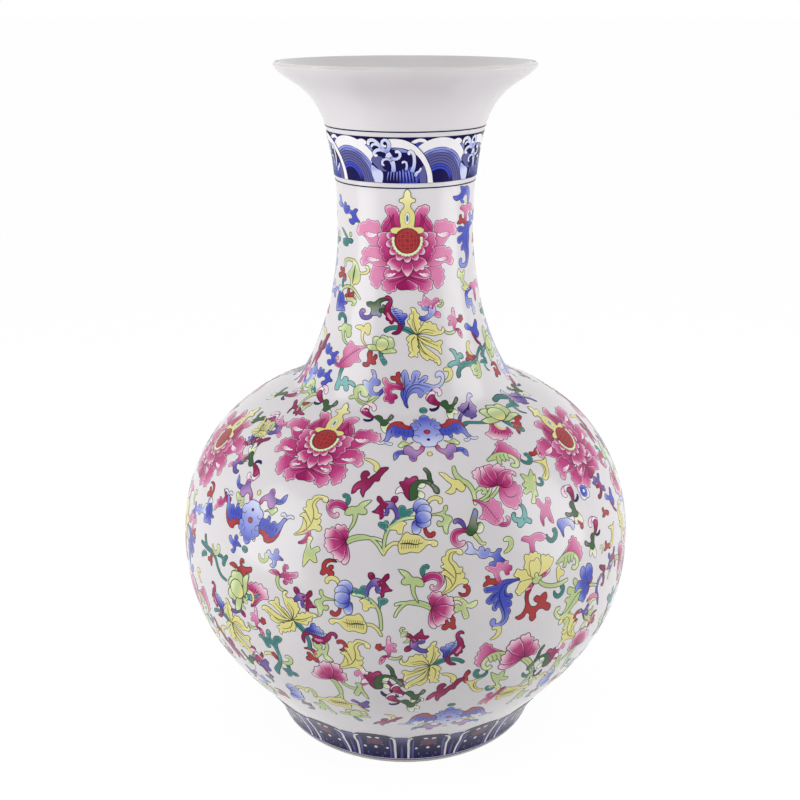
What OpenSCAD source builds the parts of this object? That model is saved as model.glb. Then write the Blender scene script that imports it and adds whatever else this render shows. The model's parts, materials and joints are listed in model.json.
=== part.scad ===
// Porcelain bottle vase: round belly, long neck, flared mouth and a turned foot ring.
// Millimetres, +Z up. The origin is the centre of the face that the vase stands on.
// The outer outline is five curves that join smoothly, one for each part of the wall.
// A place on the outline is a number from 0 at the foot to 5 at the lip.

/* [Foot] */
// Outer radius of the foot where it stands
foot_r = 115.5; // [100:0.5:125]
// Height of the foot, up to where it meets the belly
foot_h = 46; // [38:1:56]
// Outer radius where the foot meets the belly
foot_top_r = 140.5; // [132:0.5:150]
// Lean of the wall there, measured up from level
foot_top_angle = 51; // [44:1:60]
// Thickness of the clay in the foot ring
foot_wall = 11; // [7:0.5:14]
// Bevel on both edges of the standing face
foot_bevel = 1; // [0.5:0.1:2]
// Height of the joint between the foot ring and the belly's bowl, on the outside
foot_joint_h = 26; // [22:1:32]

/* [Belly] */
// Largest outer radius of the belly
belly_r = 194.5; // [180:0.5:210]
// Height of the belly from the foot to its widest line
lower_belly_h = 123.5; // [110:0.5:140]
// Height of the belly from its widest line to the shoulder
upper_belly_h = 139; // [125:1:155]
// Thickness of the clay at the widest line
belly_wall = 7.5; // [5:0.5:10]
// Thickness of the floor inside
floor_t = 10; // [7:0.5:14]

/* [Neck and mouth] */
// Outer radius where the shoulder meets the neck
shoulder_r = 94; // [84:0.5:104]
// Lean of the shoulder there, measured up from level and inwards
shoulder_angle = 26; // [18:1:34]
// Thickness of the clay at the shoulder
shoulder_wall = 7; // [5:0.5:9]
// Smallest outer radius of the neck
neck_r = 55.5; // [48:0.5:64]
// Height of the neck from the shoulder to its narrowest line
neck_h = 134.5; // [120:0.5:150]
// Thickness of the clay at the narrowest line
neck_wall = 6; // [4:0.5:8]
// Outer radius of the lip
lip_r = 104; // [92:0.5:116]
// Height of the mouth from the narrowest line to the crest of the lip
mouth_h = 127; // [115:1:140]
// Lean of the flare at the lip, measured up from level
lip_angle = 50; // [40:1:60]
// Thickness of the rounded lip with its glaze
lip_t = 5; // [4:0.1:7]

/* [Fullness of the curves] */
// Reach of the foot's curve at its bottom, as a share of the foot's height
foot_low_reach = 0.21; // [0.1:0.01:0.3]
// Reach of the foot's curve at its top, as a share of the foot's height
foot_high_reach = 0.35; // [0.25:0.01:0.45]
// Reach of the lower belly at the foot, as a share of its height
bowl_low_reach = 0.375; // [0.3:0.005:0.45]
// Reach of the lower belly at the widest line, as a share of its height
bowl_high_reach = 0.465; // [0.4:0.005:0.55]
// Reach of the upper belly at the widest line, as a share of its height
dome_low_reach = 0.74; // [0.65:0.01:0.8]
// Reach of the upper belly at the shoulder, as a share of its height
dome_high_reach = 0.19; // [0.12:0.01:0.26]
// Reach of the neck at the shoulder, as a share of its height
neck_low_reach = 0.05; // [0.03:0.01:0.1]
// Reach of the neck at its narrowest line, as a share of its height
neck_high_reach = 0.585; // [0.5:0.005:0.65]
// Reach of the mouth at the narrowest line, as a share of its height
mouth_low_reach = 0.905; // [0.8:0.005:0.95]
// Reach of the mouth at the lip, as a share of its height
mouth_high_reach = 0.2; // [0.14:0.01:0.26]

/* [Glaze and luting] */
// Thickness of the glaze coats
glaze_t = 0.4; // [0.3:0.05:0.8]
// Height of the bare clay left at the bottom of the foot
bare_h = 3; // [2.5:0.1:3.4]
// Thickness of the slip that joins two clay sections
luting_t = 1.2; // [0.8:0.1:2]
// Depth that the slip is wiped back from both faces of the wall
slip_gap = 0.25; // [0.2:0.01:0.5]

/* [Wave band on the neck] */
// Height of the band's lower edge above the neck's narrowest line
wave_rise = 39.5; // [38:0.5:44]
// Height of the wave band
wave_h = 35; // [28:0.5:38]
// Gap of bare glaze between the band and each border line
wave_gap = 3.4; // [2:0.1:4]
// Height of each border line
wave_line_h = 0.9; // [0.6:0.1:1.4]

/* [Lappet band on the foot] */
// Number of lappets round the foot
lappet_count = 18; // [12:1:24]
// Height of the lappets' lower edge above the standing face
lappet_rise = 5.6; // [5.4:0.1:7]
// Height of the lappets
lappet_h = 40; // [30:0.5:40]
// Width of a gap between two lappets, as an angle
lappet_gap_angle = 4.6; // [3:0.1:6]
// Turn of the band about the vase, as the angle of a gap from the +X side
lappet_turn = 8.6; // [0:0.1:20]
// Height of the dark foot line's lower edge above the standing face
foot_line_rise = 3.7; // [3.5:0.1:4]
// Height of the foot line
foot_line_h = 0.8; // [0.5:0.1:1.2]
// Thickness of the coloured bands over the glaze
band_t = 0.12; // [0.08:0.01:0.2]
// Hair gap between the coloured bands and the glaze under them
band_gap = 0.18; // [0.16:0.01:0.3]

/* [Hidden] */

$fn = 128;
curve_steps = 20;        // samples on each of the five curves
least_step = 0.012;      // a regular sample this near to a named place is left out
lip_step = 15;           // degrees between samples on the rounded lip
halvings = 40;           // halvings when a height is looked for on the outline

// Heights of the lines where the curves join, from the standing face
belly_z = foot_h + lower_belly_h;
shoulder_z = belly_z + upper_belly_h;
neck_z = shoulder_z + neck_h;
lip_z = neck_z + mouth_h;

// Unit vectors of the wall in the plane of radius and height, running from the foot to the lip
straight_up = [0, 1];
foot_top_run = [cos(foot_top_angle), sin(foot_top_angle)];
shoulder_run = [-cos(shoulder_angle), sin(shoulder_angle)];
lip_run = [cos(lip_angle), sin(lip_angle)];
lip_inward = [-lip_run.y, lip_run.x];
lip_centre = [lip_r - lip_t / 2, lip_z - lip_t / 2];

// Points where the curves join
foot_p = [foot_r, 0];
foot_top_p = [foot_top_r, foot_h];
belly_p = [belly_r, belly_z];
shoulder_p = [shoulder_r, shoulder_z];
neck_p = [neck_r, neck_z];
lip_p = lip_centre - lip_inward * lip_t / 2;

// The five curves, each with its two ends and the two points that its ends reach for
CURVES = [
    [foot_p, foot_p + straight_up * foot_low_reach * foot_h,
        foot_top_p - foot_top_run * foot_high_reach * foot_h, foot_top_p],
    [foot_top_p, foot_top_p + foot_top_run * bowl_low_reach * lower_belly_h,
        belly_p - straight_up * bowl_high_reach * lower_belly_h, belly_p],
    [belly_p, belly_p + straight_up * dome_low_reach * upper_belly_h,
        shoulder_p - shoulder_run * dome_high_reach * upper_belly_h, shoulder_p],
    [shoulder_p, shoulder_p + shoulder_run * neck_low_reach * neck_h,
        neck_p - straight_up * neck_high_reach * neck_h, neck_p],
    [neck_p, neck_p + straight_up * mouth_low_reach * mouth_h,
        lip_p - lip_run * mouth_high_reach * mouth_h, lip_p]
];
lip_end = len(CURVES);

function bezier(c, t) = pow(1 - t, 3) * c[0] + 3 * t * pow(1 - t, 2) * c[1]
    + 3 * t * t * (1 - t) * c[2] + pow(t, 3) * c[3];
function bezier_rate(c, t) = 3 * pow(1 - t, 2) * (c[1] - c[0])
    + 6 * t * (1 - t) * (c[2] - c[1]) + 3 * t * t * (c[3] - c[2]);
function curve_of(u) = min(floor(u), lip_end - 1);
function inward(u) = let (d = bezier_rate(CURVES[curve_of(u)], u - curve_of(u)))
    [-d.y, d.x] / norm(d);

// A point under the outer outline, and the clay's thickness there
function under(u, depth) = bezier(CURVES[curve_of(u)], u - curve_of(u)) + depth * inward(u);
lip_wall = lip_t - 2 * glaze_t;
function wall(u) = lookup(u, [[0, foot_wall], [1, foot_wall], [2, belly_wall], [3, shoulder_wall],
    [4, neck_wall], [5, lip_wall]]);
function bore(u, extra) = under(u, glaze_t + wall(u) + extra);

// The place on the outline, or on the inside of the clay, that lies at height z
function place_at(z, low = 0, high = lip_end, left = halvings) = left == 0 ? low
    : let (mid = (low + high) / 2)
    under(mid, 0).y < z ? place_at(z, mid, high, left - 1) : place_at(z, low, mid, left - 1);
function bore_at(z, extra, low = 0, high = lip_end, left = halvings) = left == 0 ? low
    : let (mid = (low + high) / 2)
    bore(mid, extra).y < z ? bore_at(z, extra, mid, high, left - 1)
    : bore_at(z, extra, low, mid, left - 1);

// A joint's two sides, half a luting apart from its line, where curve k ends or at a height.
// The foot's joint is cut level, so its inside has places of its own.
function step_for(k, t, length) = length / norm(bezier_rate(CURVES[k], t));
function joint_after(k) = [k + 1 - step_for(k, 1, luting_t / 2), k + 1 + step_for(k + 1, 0, luting_t / 2)];
foot_joint_u = place_at(foot_joint_h);
foot_joint_half = step_for(0, foot_joint_u, luting_t / 2);
foot_joint = [foot_joint_u - foot_joint_half, foot_joint_u + foot_joint_half];
foot_joint_z = [for (u = foot_joint) under(u, glaze_t).y];
foot_joint_bore = [for (z = foot_joint_z) bore_at(z, 0)];
belly_joint = joint_after(1);
shoulder_joint = joint_after(2);
neck_joint = joint_after(3);

// Edges of the glaze and of the floor
bevel_u = place_at(foot_bevel);
bare_u = place_at(bare_h);
floor_bottom = foot_joint_z[1];
floor_top = floor_bottom + floor_t;
under_floor_u = bore_at(floor_bottom - glaze_t, glaze_t);
floor_u = bore_at(floor_top, 0);
floor_glaze_u = bore_at(floor_top + glaze_t, glaze_t);

// Edges of the coloured bands, each as its lower and its upper place
function band_at(z, h) = [place_at(z), place_at(z + h)];
wave = band_at(neck_z + wave_rise, wave_h);
wave_upper = band_at(neck_z + wave_rise + wave_h + wave_gap, wave_line_h);
wave_lower = band_at(neck_z + wave_rise - wave_gap - wave_line_h, wave_line_h);
lappet = band_at(lappet_rise, lappet_h);
foot_dark = band_at(foot_line_rise, foot_line_h);
lappet_pitch = 360 / lappet_count;

// Every piece takes its samples from one list, so pieces that touch share their points
STOPS = concat([0, bevel_u, bare_u, under_floor_u, floor_u, floor_glaze_u, lip_end], foot_joint,
    foot_joint_bore, belly_joint, shoulder_joint, neck_joint, wave, wave_upper, wave_lower, lappet,
    foot_dark);
function sorted(v) = len(v) < 2 ? v
    : concat(sorted([for (x = v) if (x < v[0]) x]), [v[0]], sorted([for (x = v) if (x > v[0]) x]));
function clear_of_stops(u) = min([for (s = STOPS) abs(s - u)]) > least_step;
REGULAR = [for (i = [0 : lip_end * curve_steps]) i / curve_steps];
SAMPLES = sorted(concat(STOPS, [for (u = REGULAR) if (clear_of_stops(u)) u]));

function outer_run(a, b, depth) = [for (u = SAMPLES) if (u >= a && u <= b) under(u, depth)];
function bore_run(a, b, extra = 0) = [for (u = SAMPLES) if (u >= a && u <= b) bore(u, extra)];
function reversed(v) = [for (i = [len(v) - 1 : -1 : 0]) v[i]];
function lip_round(radius, last = 180) = [for (a = [lip_step : lip_step : last])
    lip_centre + radius * (sin(a) * lip_run - cos(a) * lip_inward)];

module turned(points, angle = 360) {
    rotate_extrude(angle = angle) polygon(points);
}

// A ring of clay or slip between two places, from under the outer glaze to the inside
module clay_ring(a, b, gap = 0) {
    turned(concat(outer_run(a, b, glaze_t + gap), reversed(bore_run(a, b, -gap))));
}

// A coloured coat over the glaze between two places
module coat(edges, angle = 360) {
    turned(concat(outer_run(edges[0], edges[1], -band_gap - band_t),
        reversed(outer_run(edges[0], edges[1], -band_gap))), angle);
}

// Coats repeated round the foot, one in each lappet pitch
module coat_round(edges, start, angle) {
    for (i = [0 : lappet_count - 1])
        rotate([0, 0, lappet_turn + i * lappet_pitch + start])
            coat(edges, angle);
}

module foot_ring() {
    outside = foot_r - glaze_t;
    inside = outside - foot_wall;
    color("gainsboro")
        turned(concat([[inside + foot_bevel, 0], [outside - foot_bevel, 0]],
            outer_run(bevel_u, foot_joint[0], glaze_t), reversed(bore_run(bevel_u, foot_joint_bore[0]))));
}

module belly_bowl() {
    color("whitesmoke")
        turned(concat([[0, floor_bottom]],
            outer_run(foot_joint[1], belly_joint[0], glaze_t),
            reversed(bore_run(floor_u, belly_joint[0])), [[0, floor_top]]));
}

module belly_dome() {
    color("whitesmoke") clay_ring(belly_joint[1], shoulder_joint[0]);
}

module neck() {
    color("whitesmoke") clay_ring(shoulder_joint[1], neck_joint[0]);
}

module mouth() {
    color("whitesmoke")
        turned(concat(outer_run(neck_joint[1], lip_end, glaze_t),
            lip_round(lip_wall / 2, 180 - lip_step), reversed(bore_run(neck_joint[1], lip_end))));
}

module foot_luting() {
    back = [slip_gap, 0];
    outside = [for (p = outer_run(foot_joint[0], foot_joint[1], glaze_t)) p - back];
    inside = [for (p = bore_run(foot_joint_bore[0], foot_joint_bore[1])) p + back];
    color("linen") turned(concat(outside, reversed(inside)));
}

module belly_luting() {
    color("linen") clay_ring(belly_joint[0], belly_joint[1], slip_gap);
}

module shoulder_luting() {
    color("linen") clay_ring(shoulder_joint[0], shoulder_joint[1], slip_gap);
}

module neck_luting() {
    color("linen") clay_ring(neck_joint[0], neck_joint[1], slip_gap);
}

// The outer coat runs over the lip to the inside edge of its rounding
module outer_glaze() {
    color("lavenderblush")
        turned(concat(outer_run(bare_u, lip_end, 0), lip_round(lip_t / 2),
            reversed(lip_round(lip_wall / 2)), reversed(outer_run(bare_u, lip_end, glaze_t))));
}

module inner_glaze() {
    color("gainsboro")
        turned(concat([[0, floor_top]], bore_run(floor_u, lip_end),
            reversed(bore_run(floor_glaze_u, lip_end, glaze_t)), [[0, floor_top + glaze_t]]));
}

module base_glaze() {
    color("gainsboro")
        turned(concat([[0, floor_bottom - glaze_t]], reversed(bore_run(bare_u, under_floor_u, glaze_t)),
            bore_run(bare_u, foot_joint_bore[1]), [[0, floor_bottom]]));
}

module wave_band() {
    color("midnightblue") coat(wave);
}

module wave_upper_line() {
    color("midnightblue") coat(wave_upper);
}

module wave_lower_line() {
    color("midnightblue") coat(wave_lower);
}

module lappets() {
    color("navy") coat_round(lappet, lappet_gap_angle / 2, lappet_pitch - lappet_gap_angle);
}

module lappet_gaps() {
    color("slategray") coat_round(lappet, -lappet_gap_angle / 2, lappet_gap_angle);
}

module foot_line() {
    color("midnightblue") coat(foot_dark);
}

foot_ring();
belly_bowl();
belly_dome();
neck();
mouth();
foot_luting();
belly_luting();
shoulder_luting();
neck_luting();
outer_glaze();
inner_glaze();
base_glaze();
wave_band();
wave_upper_line();
wave_lower_line();
lappets();
lappet_gaps();
foot_line();
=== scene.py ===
"""Dresses a porcelain bottle vase: its glaze, its bare foot, two blue bands and an enamel scroll."""
import sys

import json
import math
from collections import namedtuple

import bmesh
import bpy
import numpy as np
from bpy.props import FloatProperty, FloatVectorProperty, IntProperty, PointerProperty
from mathutils import Color, Matrix, Vector
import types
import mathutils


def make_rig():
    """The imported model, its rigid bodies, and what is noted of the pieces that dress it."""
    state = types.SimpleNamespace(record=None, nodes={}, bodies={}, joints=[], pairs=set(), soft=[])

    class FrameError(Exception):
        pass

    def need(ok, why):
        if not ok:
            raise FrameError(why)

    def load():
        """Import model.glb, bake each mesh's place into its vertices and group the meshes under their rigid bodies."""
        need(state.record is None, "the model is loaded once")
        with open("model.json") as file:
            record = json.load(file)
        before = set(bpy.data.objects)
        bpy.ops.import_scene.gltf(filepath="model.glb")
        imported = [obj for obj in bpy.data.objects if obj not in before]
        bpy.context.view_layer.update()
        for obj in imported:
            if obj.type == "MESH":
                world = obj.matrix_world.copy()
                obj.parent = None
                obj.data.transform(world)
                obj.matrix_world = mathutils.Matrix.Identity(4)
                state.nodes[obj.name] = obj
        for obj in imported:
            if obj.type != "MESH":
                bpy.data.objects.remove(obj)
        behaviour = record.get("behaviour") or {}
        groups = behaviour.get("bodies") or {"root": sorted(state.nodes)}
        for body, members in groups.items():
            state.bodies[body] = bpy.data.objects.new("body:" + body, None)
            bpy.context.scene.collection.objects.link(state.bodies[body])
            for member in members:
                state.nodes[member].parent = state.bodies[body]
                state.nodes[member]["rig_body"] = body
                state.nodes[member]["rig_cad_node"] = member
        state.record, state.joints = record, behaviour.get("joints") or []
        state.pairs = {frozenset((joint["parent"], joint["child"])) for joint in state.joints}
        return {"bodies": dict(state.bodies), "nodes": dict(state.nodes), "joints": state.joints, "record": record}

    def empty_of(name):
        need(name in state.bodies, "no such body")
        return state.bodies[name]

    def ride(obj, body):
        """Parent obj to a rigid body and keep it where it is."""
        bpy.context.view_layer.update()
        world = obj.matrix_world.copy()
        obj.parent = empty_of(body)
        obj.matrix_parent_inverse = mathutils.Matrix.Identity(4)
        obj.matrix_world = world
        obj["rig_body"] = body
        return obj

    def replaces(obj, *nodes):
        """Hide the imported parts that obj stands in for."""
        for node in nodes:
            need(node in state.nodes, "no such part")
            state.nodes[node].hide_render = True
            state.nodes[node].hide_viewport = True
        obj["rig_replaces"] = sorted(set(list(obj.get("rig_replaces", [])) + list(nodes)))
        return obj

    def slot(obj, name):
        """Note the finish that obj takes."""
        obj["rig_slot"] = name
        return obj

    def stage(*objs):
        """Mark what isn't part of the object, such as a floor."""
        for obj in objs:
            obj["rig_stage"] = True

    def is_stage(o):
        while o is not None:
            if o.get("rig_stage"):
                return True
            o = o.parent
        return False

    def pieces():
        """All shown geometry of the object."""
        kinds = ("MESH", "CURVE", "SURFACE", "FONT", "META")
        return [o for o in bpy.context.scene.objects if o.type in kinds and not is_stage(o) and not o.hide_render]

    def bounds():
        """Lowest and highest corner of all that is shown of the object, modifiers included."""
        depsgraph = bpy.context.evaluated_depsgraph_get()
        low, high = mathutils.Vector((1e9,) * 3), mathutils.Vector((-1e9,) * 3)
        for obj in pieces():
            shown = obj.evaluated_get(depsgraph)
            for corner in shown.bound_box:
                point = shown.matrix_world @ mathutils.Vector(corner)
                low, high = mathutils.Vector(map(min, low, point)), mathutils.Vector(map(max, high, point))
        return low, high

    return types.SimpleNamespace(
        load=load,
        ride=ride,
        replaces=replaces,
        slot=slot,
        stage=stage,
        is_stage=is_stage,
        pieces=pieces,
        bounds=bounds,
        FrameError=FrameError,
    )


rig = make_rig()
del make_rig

bl_info = {
    "name": "Porcelain bottle vase",
    "version": (1, 0, 0),
    "blender": (4, 5, 0),
    "location": "View3D > Sidebar > Vase",
    "description": "Glazes and decorates a porcelain bottle vase",
    "category": "Object",
}

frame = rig.load()
CAD_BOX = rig.bounds()
BODY = "root"
MM = 0.001
SIZE_FILE = "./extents.json"
PAINT_MAP = "OFBake"
SPIN_DOUBLINGS = 4        # a turned piece is spun as a sector, which is then doubled this often
STRIP_MARGIN = 0.08       # share of a paint's strip in the map that is kept as a margin on both sides
INK_LINE = 0.75           # width of the dark outlines, in millimetres
INK_DROP = 0.45           # how far the ink round a stroke lies under it, in layers
STROKE_RISE = 0.04        # how far a stroke lies over the one before it in the same layer, in layers
STREAKS = 5               # brush streaks across a petal
COLUMN_WIDTH = 2.2        # widest column of a stroke's grid, in millimetres
LOTUS_RIM = 2.4           # width of the pale edges of the lotus petals, in millimetres
RIM_WIDTH = 2             # width of the rim of a shape, in millimetres
LOOP_STEP = 1.1           # widest step along an outline, in millimetres
LOBE_RISE = 0.36          # height of a lobe in an outline, as a share of its width
WAVE_COUNT = 5            # waves round the neck
WAVE_START = -6           # angle of the first wave from the front, in degrees
WAVE_GIRTH = 60           # radius that the width of a wave is meant for, in millimetres
LAPPET_COUNT = 18         # panels round the foot
LAPPET_START = -1.4       # angle of the first strip between panels from the front, in degrees
LAPPET_GIRTH = 118        # radius that the width of a panel is meant for, in millimetres
ENAMEL_ROUGHNESS = 0.2
SCROLL_GLOSS = 0.25
BAND_GLOSS = 0.06
FLOOR_GLOW = 1.06         # strength of the white that the floor shows to the camera
FLOOR_WHITE = 0.9         # share of that white, where the rest keeps the shadow
BRIGHT_SIDE = (0, 0.8, -0.6)    # where most of the surrounding light comes from
BRIGHT_EDGE = (-0.9, 0.3)       # how far along that direction the light grows from dim to full


def screen(red, green, blue):
    """A colour from 0 to 255, as a screen shows it, in Blender's linear light."""
    return tuple(Color((red / 255, green / 255, blue / 255)).from_srgb_to_scene_linear())


def colour(name, description, *rgb):
    return FloatVectorProperty(name=name, description=description, default=screen(*rgb),
                               subtype="COLOR", size=3, min=0, max=1)


def distance(name, description, millimetres):
    return FloatProperty(name=name, description=description, default=millimetres * MM,
                         subtype="DISTANCE", unit="LENGTH", precision=5)


class VaseSizes(bpy.types.PropertyGroup):
    spin_steps: IntProperty(name="Spin steps", description="Steps round the turned pieces",
                            default=192, min=48)
    run_step: distance("Run step", "Spacing of the rings along a turned piece", 3.4)
    corner_angle: FloatProperty(name="Corner", description="A sharper turn in the outline stays a corner",
                                default=math.radians(35), subtype="ANGLE")
    paint_lift: distance("Paint lift", "Height of the lowest layer of paint over the glaze", 0.05)
    paint_layer: distance("Paint layer", "Height from one layer of paint to the next", 0.03)


class VaseColours(bpy.types.PropertyGroup):
    glaze: colour("Glaze", "White glaze with a cool tint", 226, 222, 225)
    clay: colour("Clay", "Bare fired clay at the foot", 226, 221, 214)
    slip: colour("Slip", "Slip in the joints", 220, 214, 203)
    deep_rose: colour("Deep rose", "Hearts of the rose petals", 152, 20, 92)
    rose: colour("Rose", "Rose petals", 192, 56, 126)
    pink: colour("Pink", "Light petals", 222, 132, 176)
    pale_pink: colour("Pale pink", "Edges of the petals", 248, 210, 228)
    crimson: colour("Crimson", "Dark red of stems and medallions", 154, 32, 42)
    red: colour("Red", "Iron red", 176, 58, 60)
    plum: colour("Plum", "Dark buds and flames", 140, 16, 76)
    yellow: colour("Yellow", "Lilies and crowns", 230, 221, 140)
    pale_yellow: colour("Pale yellow", "Edges of the lilies", 250, 244, 186)
    green: colour("Green", "Light green of sprigs", 188, 207, 144)
    pale_green: colour("Pale green", "Tips of sprigs", 226, 240, 190)
    moss: colour("Moss", "Dark green calyxes", 54, 92, 50)
    teal: colour("Teal", "Stems and curls", 56, 124, 120)
    pale_teal: colour("Pale teal", "Washed teal", 124, 186, 182)
    navy: colour("Navy", "Ground of the two bands", 24, 20, 78)
    blue: colour("Blue", "Blue leaves and bats", 66, 78, 190)
    periwinkle: colour("Periwinkle", "Light blue", 142, 152, 226)
    pale_blue: colour("Pale blue", "Edges of the blue leaves", 210, 216, 248)
    violet: colour("Violet", "Violet scrolls", 98, 78, 162)
    mauve: colour("Mauve", "Washed violet", 178, 140, 196)
    grey: colour("Grey", "Grey-green shade", 132, 140, 122)
    slate: colour("Slate", "Grey-blue of the bands", 98, 98, 156)
    umber: colour("Umber", "Dull red of the flowers on the lappets", 104, 66, 84)
    white: colour("White", "White enamel", 244, 242, 245)
    rose_ink: colour("Rose ink", "Outlines of the rose petals", 86, 14, 62)
    soft_ink: colour("Soft ink", "Outlines of the light petals", 132, 66, 110)
    leaf_ink: colour("Leaf ink", "Outlines of yellow and green", 72, 78, 50)
    dark_ink: colour("Dark ink", "Outlines of dark paints", 34, 28, 52)


class StageSettings(bpy.types.PropertyGroup):
    camera_back: distance("Camera back", "Level distance from the vase's axis to the camera", 929.9)
    camera_height: distance("Camera height", "Height of the camera over the floor", 610.9)
    camera_tilt: FloatProperty(name="Tilt", description="Angle that the camera looks down by",
                               default=math.radians(19.16), subtype="ANGLE")
    lens: FloatProperty(name="Lens", description="Focal length on a 36 mm sensor",
                        default=51.15, unit="CAMERA")
    shift: FloatProperty(name="Shift", description="Sideways shift of the frame", default=-0.0068)
    floor: colour("Floor", "Pale floor and backdrop", 212, 212, 212)


def sizes():
    return bpy.context.scene.vase_sizes


def colours():
    return bpy.context.scene.vase_colours


# Turned pieces


def section_chain(node):
    """The cut of a CAD node's mesh by the plane of X and Z, on the +X side, as rows of radius and height."""
    cut = bmesh.new()
    cut.from_mesh(frame["nodes"][node].data)
    bmesh.ops.remove_doubles(cut, verts=cut.verts, dist=1e-6)
    everything = cut.verts[:] + cut.edges[:] + cut.faces[:]
    bmesh.ops.bisect_plane(cut, geom=everything, dist=1e-6, plane_co=(0, 0, 0), plane_no=(0, 1, 0),
                           clear_inner=True, clear_outer=True)
    bmesh.ops.remove_doubles(cut, verts=cut.verts, dist=1e-6)
    left = [vert for vert in cut.verts if vert.co.x < -1e-6]
    bmesh.ops.delete(cut, geom=left, context="VERTS")
    ends = [vert for vert in cut.verts if len(vert.link_edges) == 1]
    start = min(ends or cut.verts, key=lambda vert: (round(vert.co.z, 6), -vert.co.x))
    outward = max(start.link_edges, key=lambda edge: edge.other_vert(start).co.x).other_vert(start)
    chain = [start, outward]
    seen = set(chain)
    while True:
        onward = [edge.other_vert(chain[-1]) for edge in chain[-1].link_edges]
        onward = [vert for vert in onward if vert not in seen]
        if not onward:
            break
        chain.append(onward[0])
        seen.add(onward[0])
    points = [(vert.co.x, vert.co.z) for vert in chain]
    if not ends:
        points.append(points[0])
    cut.free()
    return np.array(points)


def turn_angles(points):
    """The angle that an outline turns by at each point, zero at its ends."""
    steps = np.diff(points, axis=0)
    headings = np.arctan2(steps[:, 1], steps[:, 0])
    turns = np.abs((np.diff(headings) + np.pi) % (2 * np.pi) - np.pi)
    return np.concatenate([[0], turns, [0]])


def run_along(points):
    return np.concatenate([[0], np.cumsum(np.linalg.norm(np.diff(points, axis=0), axis=1))])


def curve_through(run, points, slopes, places):
    """The smooth curve through points at their runs with given slopes, at other places along the run."""
    index = np.clip(np.searchsorted(run, places, side="right") - 1, 0, len(run) - 2)
    span = (run[index + 1] - run[index])[:, None]
    share = (places - run[index])[:, None] / span
    end_weight = 3 * share ** 2 - 2 * share ** 3
    start_slope = share ** 3 - 2 * share ** 2 + share
    end_slope = share ** 3 - share ** 2
    return ((1 - end_weight) * points[index] + end_weight * points[index + 1]
            + span * (start_slope * slopes[index] + end_slope * slopes[index + 1]))


def smooth_run(points, step):
    """A stretch with no corner, drawn again through its points as an even smooth curve."""
    if len(points) < 4:
        return points
    run = run_along(points)
    places = np.linspace(0, run[-1], max(2, math.ceil(run[-1] / step) + 1))
    return curve_through(run, points, np.gradient(points, run, axis=0), places)


def smooth_widths(stations, shares):
    """Half widths at shares of a stroke, smoothly through the widths at even stations."""
    run = np.linspace(0, 1, len(stations))
    widths = np.array(stations, dtype=float)[:, None] / 2
    slopes = np.gradient(widths, run, axis=0)
    return np.maximum(curve_through(run, widths, slopes, shares)[:, 0], 0)


def smooth_outline(node):
    """A node's outline with its corners kept and everything between them smoothed."""
    points = section_chain(node)
    sharp = [i for i, turn in enumerate(turn_angles(points)) if turn > sizes().corner_angle]
    stops = [0, *sharp, len(points) - 1]
    stretches = [smooth_run(points[a:b + 1], sizes().run_step) for a, b in zip(stops, stops[1:]) if b > a]
    return np.concatenate([stretches[0]] + [stretch[1:] for stretch in stretches[1:]])


def spin_outline(points):
    """A bmesh of an outline of radius and height turned once about the vase's axis."""
    bm = bmesh.new()
    verts = [bm.verts.new((radius, 0, height)) for radius, height in points]
    edges = [bm.edges.new(pair) for pair in zip(verts, verts[1:])]
    sectors = 2 ** SPIN_DOUBLINGS
    sector = 2 * math.pi / sectors
    bmesh.ops.spin(bm, geom=verts + edges, cent=(0, 0, 0), axis=(0, 0, 1), angle=sector,
                   steps=sizes().spin_steps // sectors)
    for doubling in range(SPIN_DOUBLINGS):
        copied = bmesh.ops.duplicate(bm, geom=bm.verts[:] + bm.edges[:] + bm.faces[:])["geom"]
        turned = [item for item in copied if isinstance(item, bmesh.types.BMVert)]
        turn = Matrix.Rotation(sector * 2 ** doubling, 3, "Z")
        bmesh.ops.rotate(bm, verts=turned, cent=(0, 0, 0), matrix=turn)
    bmesh.ops.remove_doubles(bm, verts=bm.verts, dist=1e-6)
    bmesh.ops.recalc_face_normals(bm, faces=bm.faces)
    return bm


def finish_piece(bm, name, material, slot, *nodes):
    """Makes a bmesh an object at the origin that rides on the vase, shaded smooth apart from its corners."""
    mesh = bpy.data.meshes.new(name)
    bm.to_mesh(mesh)
    bm.free()
    mesh.shade_smooth()
    mesh.set_sharp_from_angle(angle=sizes().corner_angle)
    mesh.materials.append(material)
    piece = bpy.data.objects.new(name, mesh)
    bpy.context.scene.collection.objects.link(piece)
    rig.ride(piece, BODY)
    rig.slot(piece, slot)
    if nodes:
        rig.replaces(piece, *nodes)
    return piece


class Wall:
    """The outer face of a turned node, charted by the angle from the front and the run up the wall."""

    def __init__(self, node):
        points = smooth_outline(node)
        sharp = [i for i, turn in enumerate(turn_angles(points)) if turn > sizes().corner_angle]
        outside = points[:sharp[0] + 1]
        self.radius, self.height = outside.T
        self.run = run_along(outside)
        slope = np.gradient(outside, self.run, axis=0)
        self.out = np.stack([slope[:, 1], -slope[:, 0]], axis=1)
        self.out /= np.linalg.norm(self.out, axis=1)[:, None]
        self.crest = int(np.argmax(self.height))

    def run_at(self, height):
        return np.interp(height, self.height[:self.crest], self.run[:self.crest])

    def radius_at(self, run):
        return np.interp(run, self.run, self.radius)

    def points(self, angle, run, lift):
        """Points over the wall, where the angle grows towards +X and the lift is off the glaze."""
        radius = self.radius_at(run) + lift * np.interp(run, self.run, self.out[:, 0])
        height = np.interp(run, self.run, self.height) + lift * np.interp(run, self.run, self.out[:, 1])
        return np.stack([radius * np.sin(angle), -radius * np.cos(angle), height], axis=-1)


# Paints


# A paint's colours from the root of a stroke to its tip, its rim, its streaks and the ink round it
Paint = namedtuple("Paint", "root body tip rim streak ink")


def plain(tint, ink):
    return Paint(tint, tint, tint, tint, 0.0, ink)


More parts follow.
